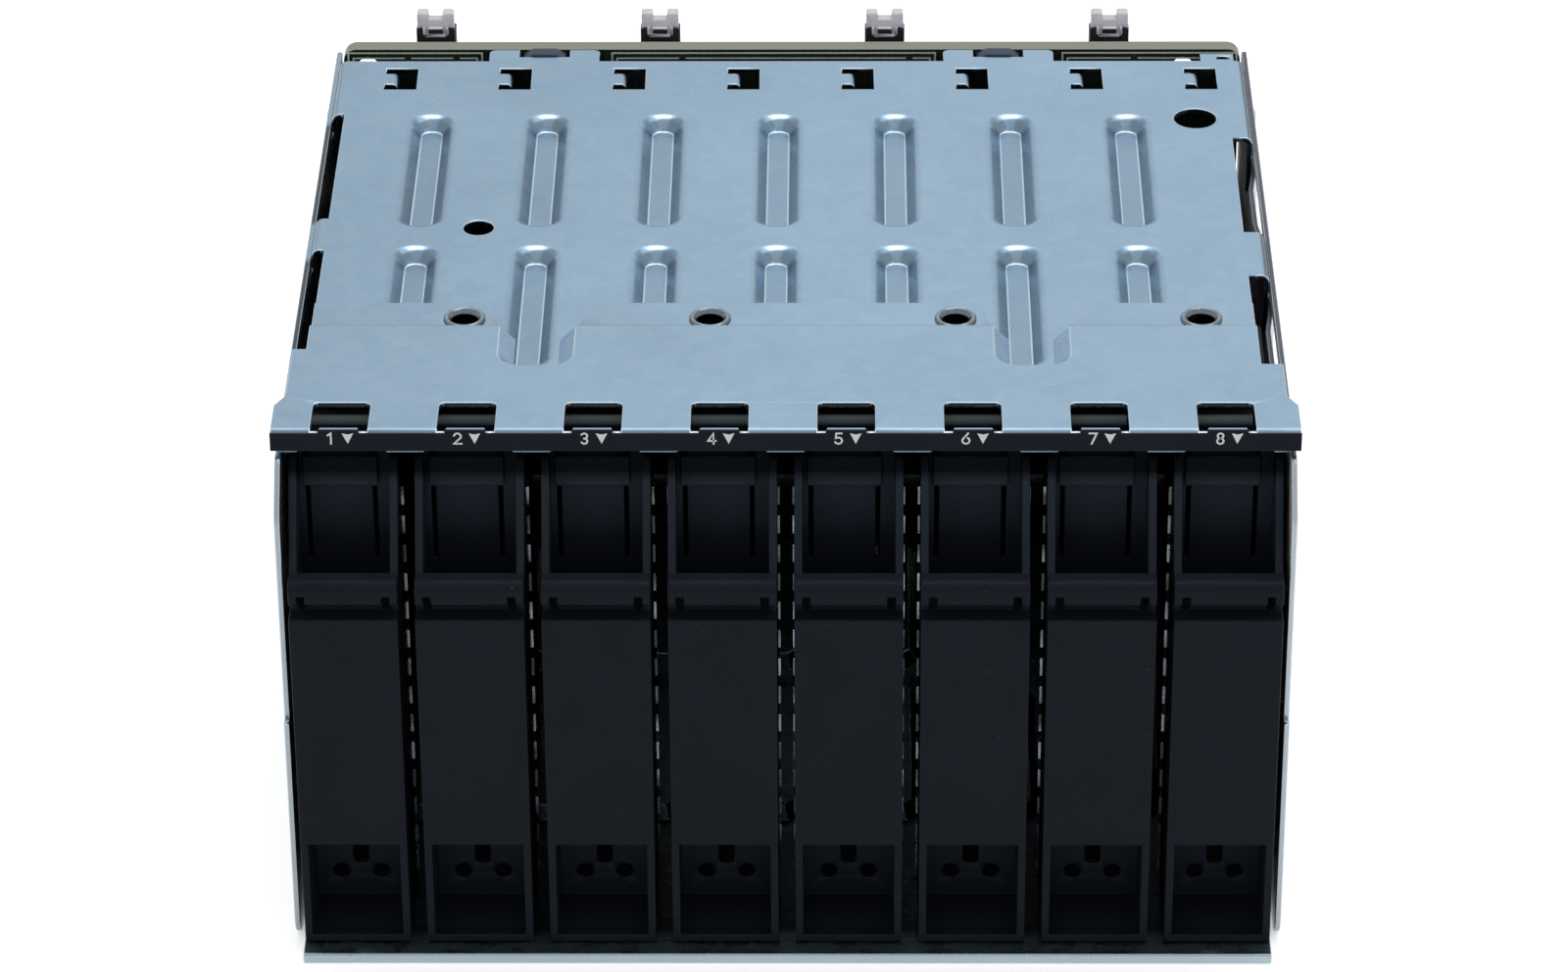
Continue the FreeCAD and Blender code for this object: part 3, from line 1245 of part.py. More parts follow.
def make_power_socket():
    body = new_body("power_socket")
    front = f"({BOARD_REAR} + seat_gap)"
    back = f"({front} + power_depth)"
    half = "(power_width / 2)"
    top = "(power_foot + power_height)"
    shell = rectangle(f"-{half}", half, "power_foot", top, "edge_round")
    extrude(body, "housing", "XZ_Plane", front, back, [shell])
    cell = "((power_width - power_wall) / power_columns)"
    rise = "((power_height - power_wall) / power_rows)"
    west = f"(-{half} + power_wall)"
    low = "(power_foot + power_wall)"
    hole = rectangle(west, f"{west} + {cell} - power_wall", low, f"{low} + {rise} - power_wall")
    deep = (f"({front} + 2 * power_wall)", f"({back} + cut_spare)")
    cut = extrude(body, "contact", "XZ_Plane", *deep, [hole], cut=True)
    rows = ("Z_Axis", rise, "power_rows")
    repeat(body, "contacts", [cut], "X_Axis", cell, "power_columns", second=rows)


def make_board_clip(number, x):
    body = new_body(f"board_clip_{number}")
    back = f"({BOARD_FRONT} - seat_gap)"
    front = f"({back} - tab_notch_depth + 2 * seat_gap)"
    half = "(clip_width / 2)"
    top = "(cage_height + clip_rise)"
    outline = [
        (f"-{half}", f"{top} - clip_height"), (half, f"{top} - clip_height"),
        (half, f"{top} - clip_shoulder"), (f"{half} - clip_slope", top, "clip_round"),
        (f"-{half} + clip_slope", top, "clip_round"), (f"-{half}", f"{top} - clip_shoulder"),
    ]
    extrude(body, "hook", "XZ_Plane", front, back, [outline])
    place(body, x)


make_top_panel()
make_base_panel()
make_side_wall("left")
make_side_wall("right")
make_front_header()
make_number_strip()
make_eyelets()
make_side_rivets()
for bay_number in range(1, int(value("bay_count")) + 1):
    make_blank(bay_number)
    make_shield_spring(bay_number)
make_board()
for bay_number in range(1, int(value("bay_count")) + 1):
    make_drive_socket(bay_number)
for cable_number in range(1, int(value("bay_count")) // 2 + 1):
    make_cable_socket(cable_number)
    make_cable_hasp(cable_number)
make_power_socket()
for clip_number, clip_place in enumerate(tab_centres(), start=1):
    make_board_clip(clip_number, clip_place)
doc.recompute()

# Nothing is written unless every feature and every piece is sound
faults = [
    f"{item.Label}: {item.getStatusString()}"
    for item in doc.Objects
    if {"Invalid", "Error"} & set(item.State)
]
for node in OUTPUT:
    if node.Shape.isNull() or not node.Shape.isValid() or not node.Shape.Solids:
        faults.append(node.Label)
if faults:
    raise SystemExit(f"Faulty objects: {faults}")

os.makedirs("parts", exist_ok=True)
for node in OUTPUT:
    node.Shape.exportStep(os.path.join("parts", f"{node.Label}.step"))
    print(node.Label, len(node.Shape.Solids), "solids", round(node.Shape.Volume, 1), "mm3")
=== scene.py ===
import json
import math

import bmesh
import bpy
from mathutils import Matrix, Vector


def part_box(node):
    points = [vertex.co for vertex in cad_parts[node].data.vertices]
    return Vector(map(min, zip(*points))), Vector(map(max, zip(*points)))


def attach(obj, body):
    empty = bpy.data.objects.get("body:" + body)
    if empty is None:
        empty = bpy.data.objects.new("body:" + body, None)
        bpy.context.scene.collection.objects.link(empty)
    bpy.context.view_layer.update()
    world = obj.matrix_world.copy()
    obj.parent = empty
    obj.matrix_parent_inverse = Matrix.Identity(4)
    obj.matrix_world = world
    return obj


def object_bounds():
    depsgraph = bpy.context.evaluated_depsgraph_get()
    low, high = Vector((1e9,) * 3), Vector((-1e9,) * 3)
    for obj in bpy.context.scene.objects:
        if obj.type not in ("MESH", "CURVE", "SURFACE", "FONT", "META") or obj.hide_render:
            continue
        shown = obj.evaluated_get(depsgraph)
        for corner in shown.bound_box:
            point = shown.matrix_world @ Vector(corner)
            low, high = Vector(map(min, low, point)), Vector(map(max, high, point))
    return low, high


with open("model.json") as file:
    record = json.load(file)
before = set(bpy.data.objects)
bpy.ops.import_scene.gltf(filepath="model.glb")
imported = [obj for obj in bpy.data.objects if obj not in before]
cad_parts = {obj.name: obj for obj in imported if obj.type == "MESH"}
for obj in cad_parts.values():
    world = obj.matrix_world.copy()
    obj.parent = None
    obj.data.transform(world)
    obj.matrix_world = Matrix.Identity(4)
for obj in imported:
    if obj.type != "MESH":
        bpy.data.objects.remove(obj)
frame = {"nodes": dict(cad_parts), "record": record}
CAD_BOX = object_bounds()
NODES = frame["nodes"]
MM = 0.001

BAYS = range(1, 9)
HASPS = range(1, 5)

# Camera, solved from the photograph's ribs, windows, blanks and holes, in millimetres
CAMERA_AT = Vector((7.4, -762.0, 493.0))
CAMERA_AIM = Vector((-0.75, -9.2, 40.0))
CAMERA_ROLL = -0.0055
CAMERA_LENS = 140.3
SENSOR_WIDTH = 36.0
# Nearest and farthest that it sees, in metres
CLIP_START, CLIP_END = 0.01, 20

# Light levels
WORLD_LIGHT = 1.0
FLOOR_COLOUR = (0.72, 0.72, 0.72, 1)
FLOOR_GLOW = 0.45
FLAG_COLOUR = (0.6, 0.6, 0.6, 1)

# The lamp's place, aim and size in millimetres, and its power in watts
LAMP_AT = Vector((120, 150, 900))
LAMP_AIM = Vector((0, 0, 40))
LAMP_SIZE = (900, 600)
LAMP_POWER = 2.7

# In metres: half the floor's side and its gap below the cage, half the flag's width, its distance and height
FLOOR_REACH, FLOOR_GAP = 6.0, 0.02 * MM
FLAG_REACH, FLAG_BEHIND, FLAG_HEIGHT = 3.0, 1.8, 0.38

# The ribs' depth, and the rounding of their shoulders and of the lines round their floors
RIB_DEPTH = 1.9 * MM
SHOULDER = 0.8 * MM
PRESS_LINE = 0.14 * MM
# A straight this short at the middle of a rib's end is joined into one corner
SHORT_BEND = 0.32 * MM

# Edges sharper than this are rounded, by as much as their kind of piece has
CORNER = math.radians(33)
SHEET_EDGE = 0.13 * MM
MOULDED_EDGE = 0.16 * MM
STEEL_EDGE = 0.12 * MM
LOOP_EDGE = 0.08 * MM
# Steps across the rounding of a shoulder and of any other edge
SHOULDER_STEPS, EDGE_STEPS = 5, 2
# Points nearer than this are welded
WELD_REACH = 0.002 * MM

# How far a print lies off its face, and a layer of print off the one below
PRINT_GAP = 0.01 * MM
LAYER_GAP = 0.004 * MM


# Node helpers

def add(tree, kind, **values):
    """Add a node, and set its properties and the values of its input sockets."""
    node = tree.nodes.new(kind)
    for name, value in values.items():
        if hasattr(node, name):
            setattr(node, name, value)
        else:
            node.inputs[name].default_value = value
    return node


def link(tree, source, target):
    """Join an output socket to an input socket."""
    tree.links.new(source, target)


def fill(tree, socket, value):
    """Give an input socket a link to another socket, or a value."""
    if isinstance(value, bpy.types.NodeSocket):
        link(tree, value, socket)
    else:
        socket.default_value = value


def principled(name, roughness, metallic=0.0, specular=0.5):
    """Start a material and return it with its tree and its shader."""
    material = bpy.data.materials.new(name)
    material.use_nodes = True
    tree = material.node_tree
    shader = tree.nodes["Principled BSDF"]
    shader.inputs["Roughness"].default_value = roughness
    shader.inputs["Metallic"].default_value = metallic
    shader.inputs["Specular IOR Level"].default_value = specular
    return material, tree, shader


def millimetres(tree, stretch=(1, 1, 1)):
    """Return the object's own coordinates in millimetres, stretched along its axes."""
    place = add(tree, "ShaderNodeTexCoord")
    scale = add(tree, "ShaderNodeMapping", Scale=tuple(s / MM for s in stretch))
    link(tree, place.outputs["Object"], scale.inputs["Vector"])
    return scale.outputs["Vector"]


def noise(tree, place, scale, detail):
    """Return a noise value over a place, with its scale in cycles per millimetre."""
    node = add(tree, "ShaderNodeTexNoise", Scale=scale, Detail=detail)
    link(tree, place, node.inputs["Vector"])
    return node.outputs["Fac"]


def spread(tree, value, span, onto=(0, 1)):
    """Map a value from one span onto another, clamped."""
    node = add(tree, "ShaderNodeMapRange")
    for name, number in zip(("From Min", "From Max", "To Min", "To Max"), (*span, *onto)):
        node.inputs[name].default_value = number
    link(tree, value, node.inputs["Value"])
    return node.outputs["Result"]


def mix(tree, factor, first, second):
    """Mix two colours, each a socket or a colour, by a socket."""
    node = add(tree, "ShaderNodeMix", data_type="RGBA")
    link(tree, factor, next(s for s in node.inputs if s.name == "Factor"))
    for name, value in (("A", first), ("B", second)):
        fill(tree, next(s for s in node.inputs if s.name == name and s.type == "RGBA"), value)
    return next(s for s in node.outputs if s.type == "RGBA")


def axes(tree, vector):
    """Split a vector into its X, Y and Z."""
    node = add(tree, "ShaderNodeSeparateXYZ")
    link(tree, vector, node.inputs["Vector"])
    return node.outputs


def facing(tree):
    """Return the X, Y and Z of the surface's normal."""
    return axes(tree, add(tree, "ShaderNodeNewGeometry").outputs["Normal"])


def reckon(tree, operation, *values):
    """Return the result of a sum on sockets and numbers."""
    node = add(tree, "ShaderNodeMath", operation=operation)
    for socket, value in zip(node.inputs, values):
        fill(tree, socket, value)
    return node.outputs["Value"]


def times(tree, first, second):
    """Multiply two values."""
    return reckon(tree, "MULTIPLY", first, second)


def absolute(tree, value):
    """Return a value without its sign."""
    return reckon(tree, "ABSOLUTE", value)


def within(tree, value, rise, fall):
    """Return 1 between a span over which it rises from 0 and a span over which it falls to 0."""
    return times(tree, spread(tree, value, rise), spread(tree, value, fall, (1, 0)))


def bump(tree, shader, height, strength, distance):
    """Give the shader's normal a bump."""
    node = add(tree, "ShaderNodeBump", Strength=strength, Distance=distance)
    link(tree, height, node.inputs["Height"])
    link(tree, node.outputs["Normal"], shader.inputs["Normal"])


# Materials

BLACK = (0, 0, 0, 1)
# Near-black steel, painted shade: on front-facing cut edges, which are bare steel, and on the base's floor
# inside the cage
SHADED_STEEL = (0.01, 0.012, 0.015, 1)

# The span that most values of a noise lie in
NOISE_SPAN = (0.3, 0.7)

# Depths of the bumps of tool marks, rolling grain and weave, and of moulded grain
MARK_DEPTH = 0.02 * MM
GRAIN_DEPTH = 0.03 * MM

# The normal's Y at cut edges, which face the front
CUT_FACING = (-0.9, -0.97)

# Starts and ends of the left wall's notches along Y, and the fade at their ends, in millimetres
LEFT_NOTCHES = ((-35.9, -3.8), (5.5, 37.6))
NOTCH_FADE = 1.5

# Spans on the cage over which a finish, or its painted light and shade, changes, in millimetres
LEFT_SHADE_X = (-65, 10)
MIDDLE_X = (-1, 1)
RIGHT_SIDE_X = (64, 65)
RIB_FLOOR_Z = (74.2, 75.5)
INNER_SHADE_Y = (-67, -65)
HEADER_CUT_Z = (76.9, 77.1)
PALE_Y, PALE_Z = (2, 12), (54, 60)

# Spans on a blank over which its painted light, shade and highlight change, in millimetres
LIT_HOLLOW_Y, LIT_HOLLOW_Z = (-66.9, -65.9), (72.5, 72.0)
FRONT_Y = (-53.5, -54.5)
LIT_RECESS_Y, LIT_RECESS_Z = (-62.5, -56.5), (59.5, 62.5)
RIDGE_RISE_Y, RIDGE_FALL_Y, RIDGE_Z = (-49.6, -49.0), (-48.5, -48.0), (73.6, 74.4)
# The painted shadow under the header's lip lies above a slope, a share of Y added to Z
LIP_SHADOW_SLOPE, LIP_SHADOW_LEVEL = 0.6, (35.2, 37.0)
LIP_SHADOW_COVER, LIP_SHADOW_METALLIC = 0.9, 0.62


def shade(tint, level=1.0):
    """Return a colour lighter or darker than a tint."""
    return tuple(min(1.0, level * c) for c in tint) + (1,)


def about(roughness, less, more):
    """Return a span of roughness round a middle one."""
    return roughness - less, roughness + more


def zinc_sheet(name, tint, roughness, grain=(0.2, 5, 5)):
    """Zinc sheet: soft clouds, faint spangle, rolling grain and a few dark specks, with painted shade darker
    to the left.
    """
    material, tree, shader = principled(name, roughness, metallic=1.0)
    place = millimetres(tree)
    clouds = spread(tree, noise(tree, place, 0.045, 3), NOISE_SPAN)
    colour = mix(tree, clouds, shade(tint, 0.95), shade(tint, 1.04))
    # Painted shade: the sheet darkens towards the left, where less light falls on it.
    colour = mix(tree, spread(tree, axes(tree, place)["X"], LEFT_SHADE_X, (0.13, 0)), colour, BLACK)
    spangle = add(tree, "ShaderNodeTexVoronoi", Scale=0.42, Randomness=1.0)
    link(tree, place, spangle.inputs["Vector"])
    flake = add(tree, "ShaderNodeSeparateColor")
    link(tree, spangle.outputs["Color"], flake.inputs["Color"])
    pale_flakes = spread(tree, flake.outputs["Red"], (0, 1), (0, 0.05))
    colour = mix(tree, pale_flakes, colour, (0.75, 0.78, 0.8, 1))
    specks = spread(tree, noise(tree, place, 1.1, 1), (0.78, 0.84), (0, 0.4))
    colour = mix(tree, specks, colour, (0.12, 0.13, 0.14, 1))
    link(tree, colour, shader.inputs["Base Color"])
    lines = noise(tree, millimetres(tree, grain), 1.0, 3)
    rough_lines = spread(tree, lines, NOISE_SPAN, about(roughness, 0.05, 0.05))
    rough_flakes = spread(tree, flake.outputs["Green"], (0, 1), (-0.03, 0.03))
    link(tree, reckon(tree, "ADD", rough_lines, rough_flakes), shader.inputs["Roughness"])
    bump(tree, shader, lines, 0.05, MARK_DEPTH)
    return material, tree, shader, colour


def ribbed_sheet(name, tint, roughness):
    """Zinc sheet with ribs that have painted shade on their walls and floors, and a painted highlight at
    their rear shoulders.
    """
    material, tree, shader, colour = zinc_sheet(name, tint, roughness)
    normal = facing(tree)
    # Painted shade on the ribs' walls, by how far they slope, and less on walls that face right.
    sloped = spread(tree, normal["Z"], (0.985, 0.6), (0, 0.42))
    wall_shading = times(tree, sloped, spread(tree, normal["X"], (0.1, 0.4), (1, 0.5)))
    colour = mix(tree, wall_shading, colour, shade(tint, 0.25))
    # Painted shade on the ribs' sunken floors; the base panel lies wholly below this height, so all of it
    # takes it.
    floor = spread(tree, axes(tree, millimetres(tree))["Z"], RIB_FLOOR_Z, (0.2, 0))
    colour = mix(tree, floor, colour, shade(tint, 0.2))
    # Painted highlight on the middle of the ribs' rear shoulders.
    shoulder_highlight = times(
        tree, within(tree, normal["Y"], (-0.6, -0.48), (-0.4, -0.24)),
        within(tree, normal["X"], (-0.22, -0.06), (0.06, 0.22)),
    )
    colour = mix(tree, shoulder_highlight, colour, (0.62, 0.72, 0.78, 1))
    # Painted shade on faces turned to the side and a little to the front, at the ribs' rounded ends.
    turned = spread(tree, absolute(tree, normal["X"]), (0.1, 0.24), (0, 0.5))
    corner = times(tree, turned, spread(tree, normal["Y"], (-0.12, -0.26)))
    colour = mix(tree, corner, colour, shade(tint, 0.3))
    return material, tree, shader, colour


def painted_reflection_inside(tree, shader, colour):
    """Return a colour with a painted reflection high inside the right side: pale and not metallic, darker to
    the front.
    """
    place = axes(tree, millimetres(tree))
    inward = spread(tree, facing(tree)["X"], (-0.3, -0.7))
    inner = times(tree, inward, spread(tree, place["X"], RIGHT_SIDE_X))
    inner = times(tree, inner, spread(tree, place["Z"], PALE_Z))
    # Painted reflection: high inside the right side the sheet turns pale and not metallic.
    link(tree, spread(tree, inner, (0, 1), (1, 0)), shader.inputs["Metallic"])
    pale = mix(tree, spread(tree, place["Y"], PALE_Y), (0.42, 0.39, 0.41, 1), (0.93, 0.95, 0.96, 1))
    return mix(tree, inner, colour, pale)


def top_sheet(tint, roughness):
    """The top panel's sheet: near-black painted shade on its front-facing cut edges, which are bare steel,
    painted shade outside its right fold and a painted reflection inside.
    """
    material, tree, shader, colour = ribbed_sheet("top_sheet", tint, roughness)
    normal = facing(tree)
    # Painted shade: the front-facing cut edges, bare steel, are darkened to near black.
    colour = mix(tree, spread(tree, normal["Y"], CUT_FACING, (0, 0.85)), colour, SHADED_STEEL)
    # Painted shade outside the right fold, in the gap beside the wall.
    outward = spread(tree, normal["X"], (0.3, 0.65), (0, 0.85))
    fold = times(tree, outward, spread(tree, axes(tree, millimetres(tree))["X"], RIGHT_SIDE_X))
    colour = mix(tree, fold, colour, (0.03, 0.045, 0.075, 1))
    link(tree, painted_reflection_inside(tree, shader, colour), shader.inputs["Base Color"])
    return material


def base_sheet(tint, roughness):
    """The base panel's sheet, with painted shade on its floor inside the cage."""
    material, tree, shader, colour = ribbed_sheet("base_sheet", tint, roughness)
    # Painted shade: upward faces behind the hem, inside the cage, turn towards near-black steel.
    upward = spread(tree, facing(tree)["Z"], (0.3, 0.6))
    floor = times(tree, upward, spread(tree, axes(tree, millimetres(tree))["Y"], INNER_SHADE_Y, (0.42, 0.91)))
    link(tree, mix(tree, floor, colour, SHADED_STEEL), shader.inputs["Base Color"])
    return material


def header_sheet(tint, roughness):
    """The header's sheet: painted light on the walls of its reliefs, painted shade on faces turned to the
    front over its fold, and near-black painted shade on its front-facing cut edges, which are bare steel.
    """
    material, tree, shader, colour = zinc_sheet("header_sheet", tint, roughness)
    normal = facing(tree)
    # Painted light on the reliefs' walls, which face the sides.
    wall_shading = spread(tree, absolute(tree, normal["X"]), (0.2, 0.45))
    colour = mix(tree, wall_shading, colour, shade(tint, 1.28))
    # Painted shade on faces turned to the front, over the fold and down the lip.
    colour = mix(tree, spread(tree, normal["Y"], (-0.12, -0.5), (0, 0.5)), colour, BLACK)
    # Painted shade: the front-facing cut edges high on the header, bare steel, are darkened to near black.
    forward = spread(tree, normal["Y"], CUT_FACING, (0, 0.9))
    cut = times(tree, forward, spread(tree, axes(tree, millimetres(tree))["Z"], HEADER_CUT_Z))
    link(tree, mix(tree, cut, colour, SHADED_STEEL), shader.inputs["Base Color"])
    return material


def wall_sheet(tint, roughness):
    """The walls' sheet: bare upper edges, darker on the right, with painted shade in the left notches, and a
    painted reflection high inside.
    """
    material, tree, shader, colour = zinc_sheet("side_sheet", tint, roughness, grain=(5, 0.2, 5))
    place = axes(tree, millimetres(tree))
    left = (0.24, 0.34, 0.43, 1)
    # Painted shade: the upper edges turn darker in the left notches.
    for start, end in LEFT_NOTCHES:
        notch = within(tree, place["Y"], (start, start + NOTCH_FADE), (end - NOTCH_FADE, end))
        left = mix(tree, notch, left, (0.045, 0.05, 0.055, 1))
    bare = mix(tree, spread(tree, place["X"], MIDDLE_X), left, (0.075, 0.072, 0.095, 1))
    colour = mix(tree, spread(tree, facing(tree)["Z"], (0.75, 0.95), (0, 0.9)), colour, bare)
    link(tree, painted_reflection_inside(tree, shader, colour), shader.inputs["Base Color"])
    return material


def bright_metal(name, tint, roughness):
    """Bright steel with fine turned or rolled marks."""
    material, tree, shader = principled(name, roughness, metallic=1.0)
    marks = noise(tree, millimetres(tree), 3.0, 3)
    colour = mix(tree, spread(tree, marks, NOISE_SPAN), shade(tint, 0.85), shade(tint))
    link(tree, colour, shader.inputs["Base Color"])
    rough = spread(tree, marks, NOISE_SPAN, about(roughness, 0.06, 0.08))
    link(tree, rough, shader.inputs["Roughness"])
    bump(tree, shader, marks, 0.08, MARK_DEPTH)
    return material


def rolled_steel(tint, roughness):
    """Bright steel of the rolled eyelets, with painted shade on the flanks of their beads."""
    material, tree, shader = principled("rolled_steel", roughness, metallic=1.0)
    marks = spread(tree, noise(tree, millimetres(tree), 3.0, 3), NOISE_SPAN)
    colour = mix(tree, marks, shade(tint, 0.8), shade(tint, 1.1))
    # Painted shade on the beads' flanks.
    flank = spread(tree, facing(tree)["Z"], (0.93, 0.75), (0, 0.6))
    link(tree, mix(tree, flank, colour, shade(tint, 0.2)), shader.inputs["Base Color"])
    link(tree, spread(tree, marks, (0, 1), about(roughness, 0.06, 0.08)), shader.inputs["Roughness"])
    return material


def painted_edge_light():
    """Rounded edges of the sheet: a painted highlight where they face the front and sides, painted shade
    where they face the rear.
    """
    material, tree, shader = principled("painted_edge_light", 0.3, metallic=1.0)
    marks = spread(tree, noise(tree, millimetres(tree), 3.0, 3), NOISE_SPAN)
    # The pale edge colours are a painted highlight.
    colour = mix(tree, marks, (0.42, 0.53, 0.62, 1), (0.50, 0.61, 0.70, 1))
    # Painted shade on edges that face the rear.
    rear = spread(tree, facing(tree)["Y"], (0.15, 0.5), (0, 0.85))
    link(tree, mix(tree, rear, colour, (0.08, 0.11, 0.14, 1)), shader.inputs["Base Color"])
    link(tree, spread(tree, marks, (0, 1), (0.24, 0.36)), shader.inputs["Roughness"])
    return material


def spring_steel():
    """Bright spring steel, dulled from finger to finger."""
    material, tree, shader = principled("spring_steel", 0.25, metallic=1.0)
    bright = spread(tree, noise(tree, millimetres(tree, (1, 0.2, 1)), 0.16, 1), (0.46, 0.66))
    colour = mix(tree, bright, (0.1, 0.105, 0.11, 1), (0.52, 0.55, 0.58, 1))
    link(tree, colour, shader.inputs["Base Color"])
    marks = noise(tree, millimetres(tree), 3.0, 3)
    link(tree, spread(tree, marks, NOISE_SPAN, (0.18, 0.34)), shader.inputs["Roughness"])
    bump(tree, shader, marks, 0.08, MARK_DEPTH)
    return material


def moulded(name, tint, roughness, specular, grain=4.0, dust=0.25):
    """Moulded plastic: fine spark-eroded grain, faint mottling and a little dust."""
    material, tree, shader = principled(name, roughness, specular=specular)
    shader.inputs["Specular Tint"].default_value = (0.62, 0.78, 1.0, 1)
    place = millimetres(tree)
    mottle = spread(tree, noise(tree, place, 0.12, 3), NOISE_SPAN)
    colour = mix(tree, mottle, shade(tint, 0.88), shade(tint, 1.12))
    fine = noise(tree, place, grain, 2)
    colour = mix(tree, spread(tree, fine, (0.45, 0.75), (0, 0.35)), colour, shade(tint, 1.8))
    specks = spread(tree, noise(tree, place, 2.3, 0), (0.85, 0.9), (0, dust))
    colour = mix(tree, specks, colour, (0.35, 0.36, 0.37, 1))
    link(tree, colour, shader.inputs["Base Color"])
    rough = spread(tree, fine, NOISE_SPAN, about(roughness, 0.06, 0.08))
    link(tree, rough, shader.inputs["Roughness"])
    bump(tree, shader, fine, 0.22, GRAIN_DEPTH)
    return material, tree, shader, colour


def plain_moulded(name, tint, roughness, specular, **more):
    """Moulded plastic with the same finish all over."""
    return moulded(name, tint, roughness, specular, **more)[0]


def blank_plastic(tint, roughness, specular):
    """Black moulding, with painted light in its hollows and finger hollow, a painted highlight on the
    latch's ridge and painted shadow below the header's lip.
    """
    material, tree, shader, colour = moulded("black_plastic", tint, roughness, specular, dust=0.1)
    place = axes(tree, millimetres(tree))
    # Painted light: the hollows behind the front face are lighter.
    hollow = times(tree, spread(tree, place["Y"], LIT_HOLLOW_Y), spread(tree, place["Z"], LIT_HOLLOW_Z))
    colour = mix(tree, hollow, colour, shade(tint, 2.0))
    front = spread(tree, place["Y"], FRONT_Y)
    # Painted light on the back of the finger hollow, more than in the other hollows.
    lit_recess = times(tree, spread(tree, place["Y"], LIT_RECESS_Y), spread(tree, place["Z"], LIT_RECESS_Z))
    colour = mix(tree, times(tree, lit_recess, front), colour, shade(tint, 3.3))
    # Painted shadow below the header's lip: black, and partly metallic so that it loses its diffuse light.
    slant = reckon(tree, "MULTIPLY_ADD", place["Y"], LIP_SHADOW_SLOPE, place["Z"])
    lip_shadow = times(tree, spread(tree, slant, LIP_SHADOW_LEVEL, (0, LIP_SHADOW_COVER)), front)
    colour = mix(tree, lip_shadow, colour, BLACK)
    link(tree, spread(tree, lip_shadow, (0, LIP_SHADOW_COVER), (0, LIP_SHADOW_METALLIC)), shader.inputs["Metallic"])
    # Painted highlight along the latch's ridge, seen through the windows.
    ridge = within(tree, place["Y"], RIDGE_RISE_Y, RIDGE_FALL_Y)
    ridge = times(tree, ridge, spread(tree, place["Z"], RIDGE_Z))
    link(tree, mix(tree, ridge, colour, (0.16, 0.18, 0.18, 1)), shader.inputs["Base Color"])
    return material


def print_ink():
    """Pale screen print with slightly uneven cover."""
    material, tree, shader = principled("print_ink", 0.5)
    cover = spread(tree, noise(tree, millimetres(tree), 5.0, 2), (0.3, 0.75))
    colour = mix(tree, cover, (0.58, 0.60, 0.63, 1), (0.47, 0.49, 0.52, 1))
    link(tree, colour, shader.inputs["Base Color"])
    return material


def board_laminate():
    """Circuit board: dark solder mask over tracks on the faces, bare beige laminate at the edges."""
    material, tree, shader = principled("board_laminate", 0.4)
    place = millimetres(tree)
    weave = noise(tree, millimetres(tree, (1, 6, 6)), 1.2, 2)
    edge = mix(tree, spread(tree, weave, NOISE_SPAN), (0.145, 0.15, 0.12, 1), (0.175, 0.178, 0.145, 1))
    mottle = spread(tree, noise(tree, place, 0.2, 2), NOISE_SPAN)
    mask = mix(tree, mottle, (0.003, 0.007, 0.006, 1), (0.006, 0.013, 0.011, 1))
    bands = add(tree, "ShaderNodeTexWave", bands_direction="X", Scale=0.3)
    link(tree, place, bands.inputs["Vector"])
    fields = spread(tree, noise(tree, millimetres(tree, (0.35, 1, 1)), 0.09, 1), (0.5, 0.53))
    tracks = times(tree, spread(tree, bands.outputs["Fac"], (0.6, 0.75), (0, 0.8)), fields)
    mask = mix(tree, tracks, mask, (0.012, 0.026, 0.021, 1))
    face = spread(tree, absolute(tree, facing(tree)["Y"]), (0.4, 0.6))
    link(tree, mix(tree, face, edge, mask), shader.inputs["Base Color"])
    bump(tree, shader, weave, 0.1, MARK_DEPTH)
    return material


def milky_plastic(name, tint):
    """Pale, slightly translucent moulding."""
    material, tree, shader = principled(name, 0.3)
    shader.inputs["Transmission Weight"].default_value = 0.35
    mottle = noise(tree, millimetres(tree), 0.8, 2)
    colour = mix(tree, spread(tree, mottle, NOISE_SPAN), shade(tint, 0.94), shade(tint, 1.06))
    link(tree, colour, shader.inputs["Base Color"])
    bump(tree, shader, mottle, 0.1, MARK_DEPTH)
    return material


def make_materials():
    """Make the finish of each material slot, or of a node that has its own."""
    film = {"grain": 7.0, "dust": 0.05}
    return {
        "top_panel": top_sheet((0.275, 0.408, 0.538), 0.30),
        "base_panel": base_sheet((0.68, 0.86, 0.95), 0.30),
        "front_header": header_sheet((0.280, 0.408, 0.536), 0.30),
        "header_eyelets": rolled_steel((0.25, 0.31, 0.355), 0.16),
        "side_sheet": wall_sheet((0.34, 0.37, 0.40), 0.30),
        "bright_steel": bright_metal("bright_steel", (0.23, 0.27, 0.29), 0.22),
        "spring_steel": spring_steel(),
        "black_plastic": blank_plastic((0.0042, 0.0054, 0.0075), 0.42, 0.11),
        "strip_film": plain_moulded("strip_film", (0.0044, 0.0054, 0.0075), 0.36, 0.11, **film),
        "board_laminate": board_laminate(),
        "socket_plastic": plain_moulded("socket_plastic", (0.02, 0.021, 0.023), 0.45, 0.3),
        "pale_plastic": milky_plastic("milky_plastic", (0.64, 0.65, 0.695)),
        "clip_plastic": plain_moulded("clip_plastic", (0.02, 0.035, 0.055), 0.45, 0.3),
    }


def paint_nodes(materials):
    """Give each node its own finish or that of its slot."""
    for row in frame["record"]["subparts"]:
        node = NODES[row["node"]]
        node.data.materials.clear()
        finish = materials.get(row["node"]) or materials[row["material_slot"]]
        node.data.materials.append(finish)


# Softened edges

# Micrometres in a metre, and how many of them an edge may lie off a level
MICRO = 1e6
LEVEL_REACH = 2
# The normal's Z on a panel's flats, and its span on the ribs' walls
FLAT = 0.999
SLOPED = (0.3, 0.97)


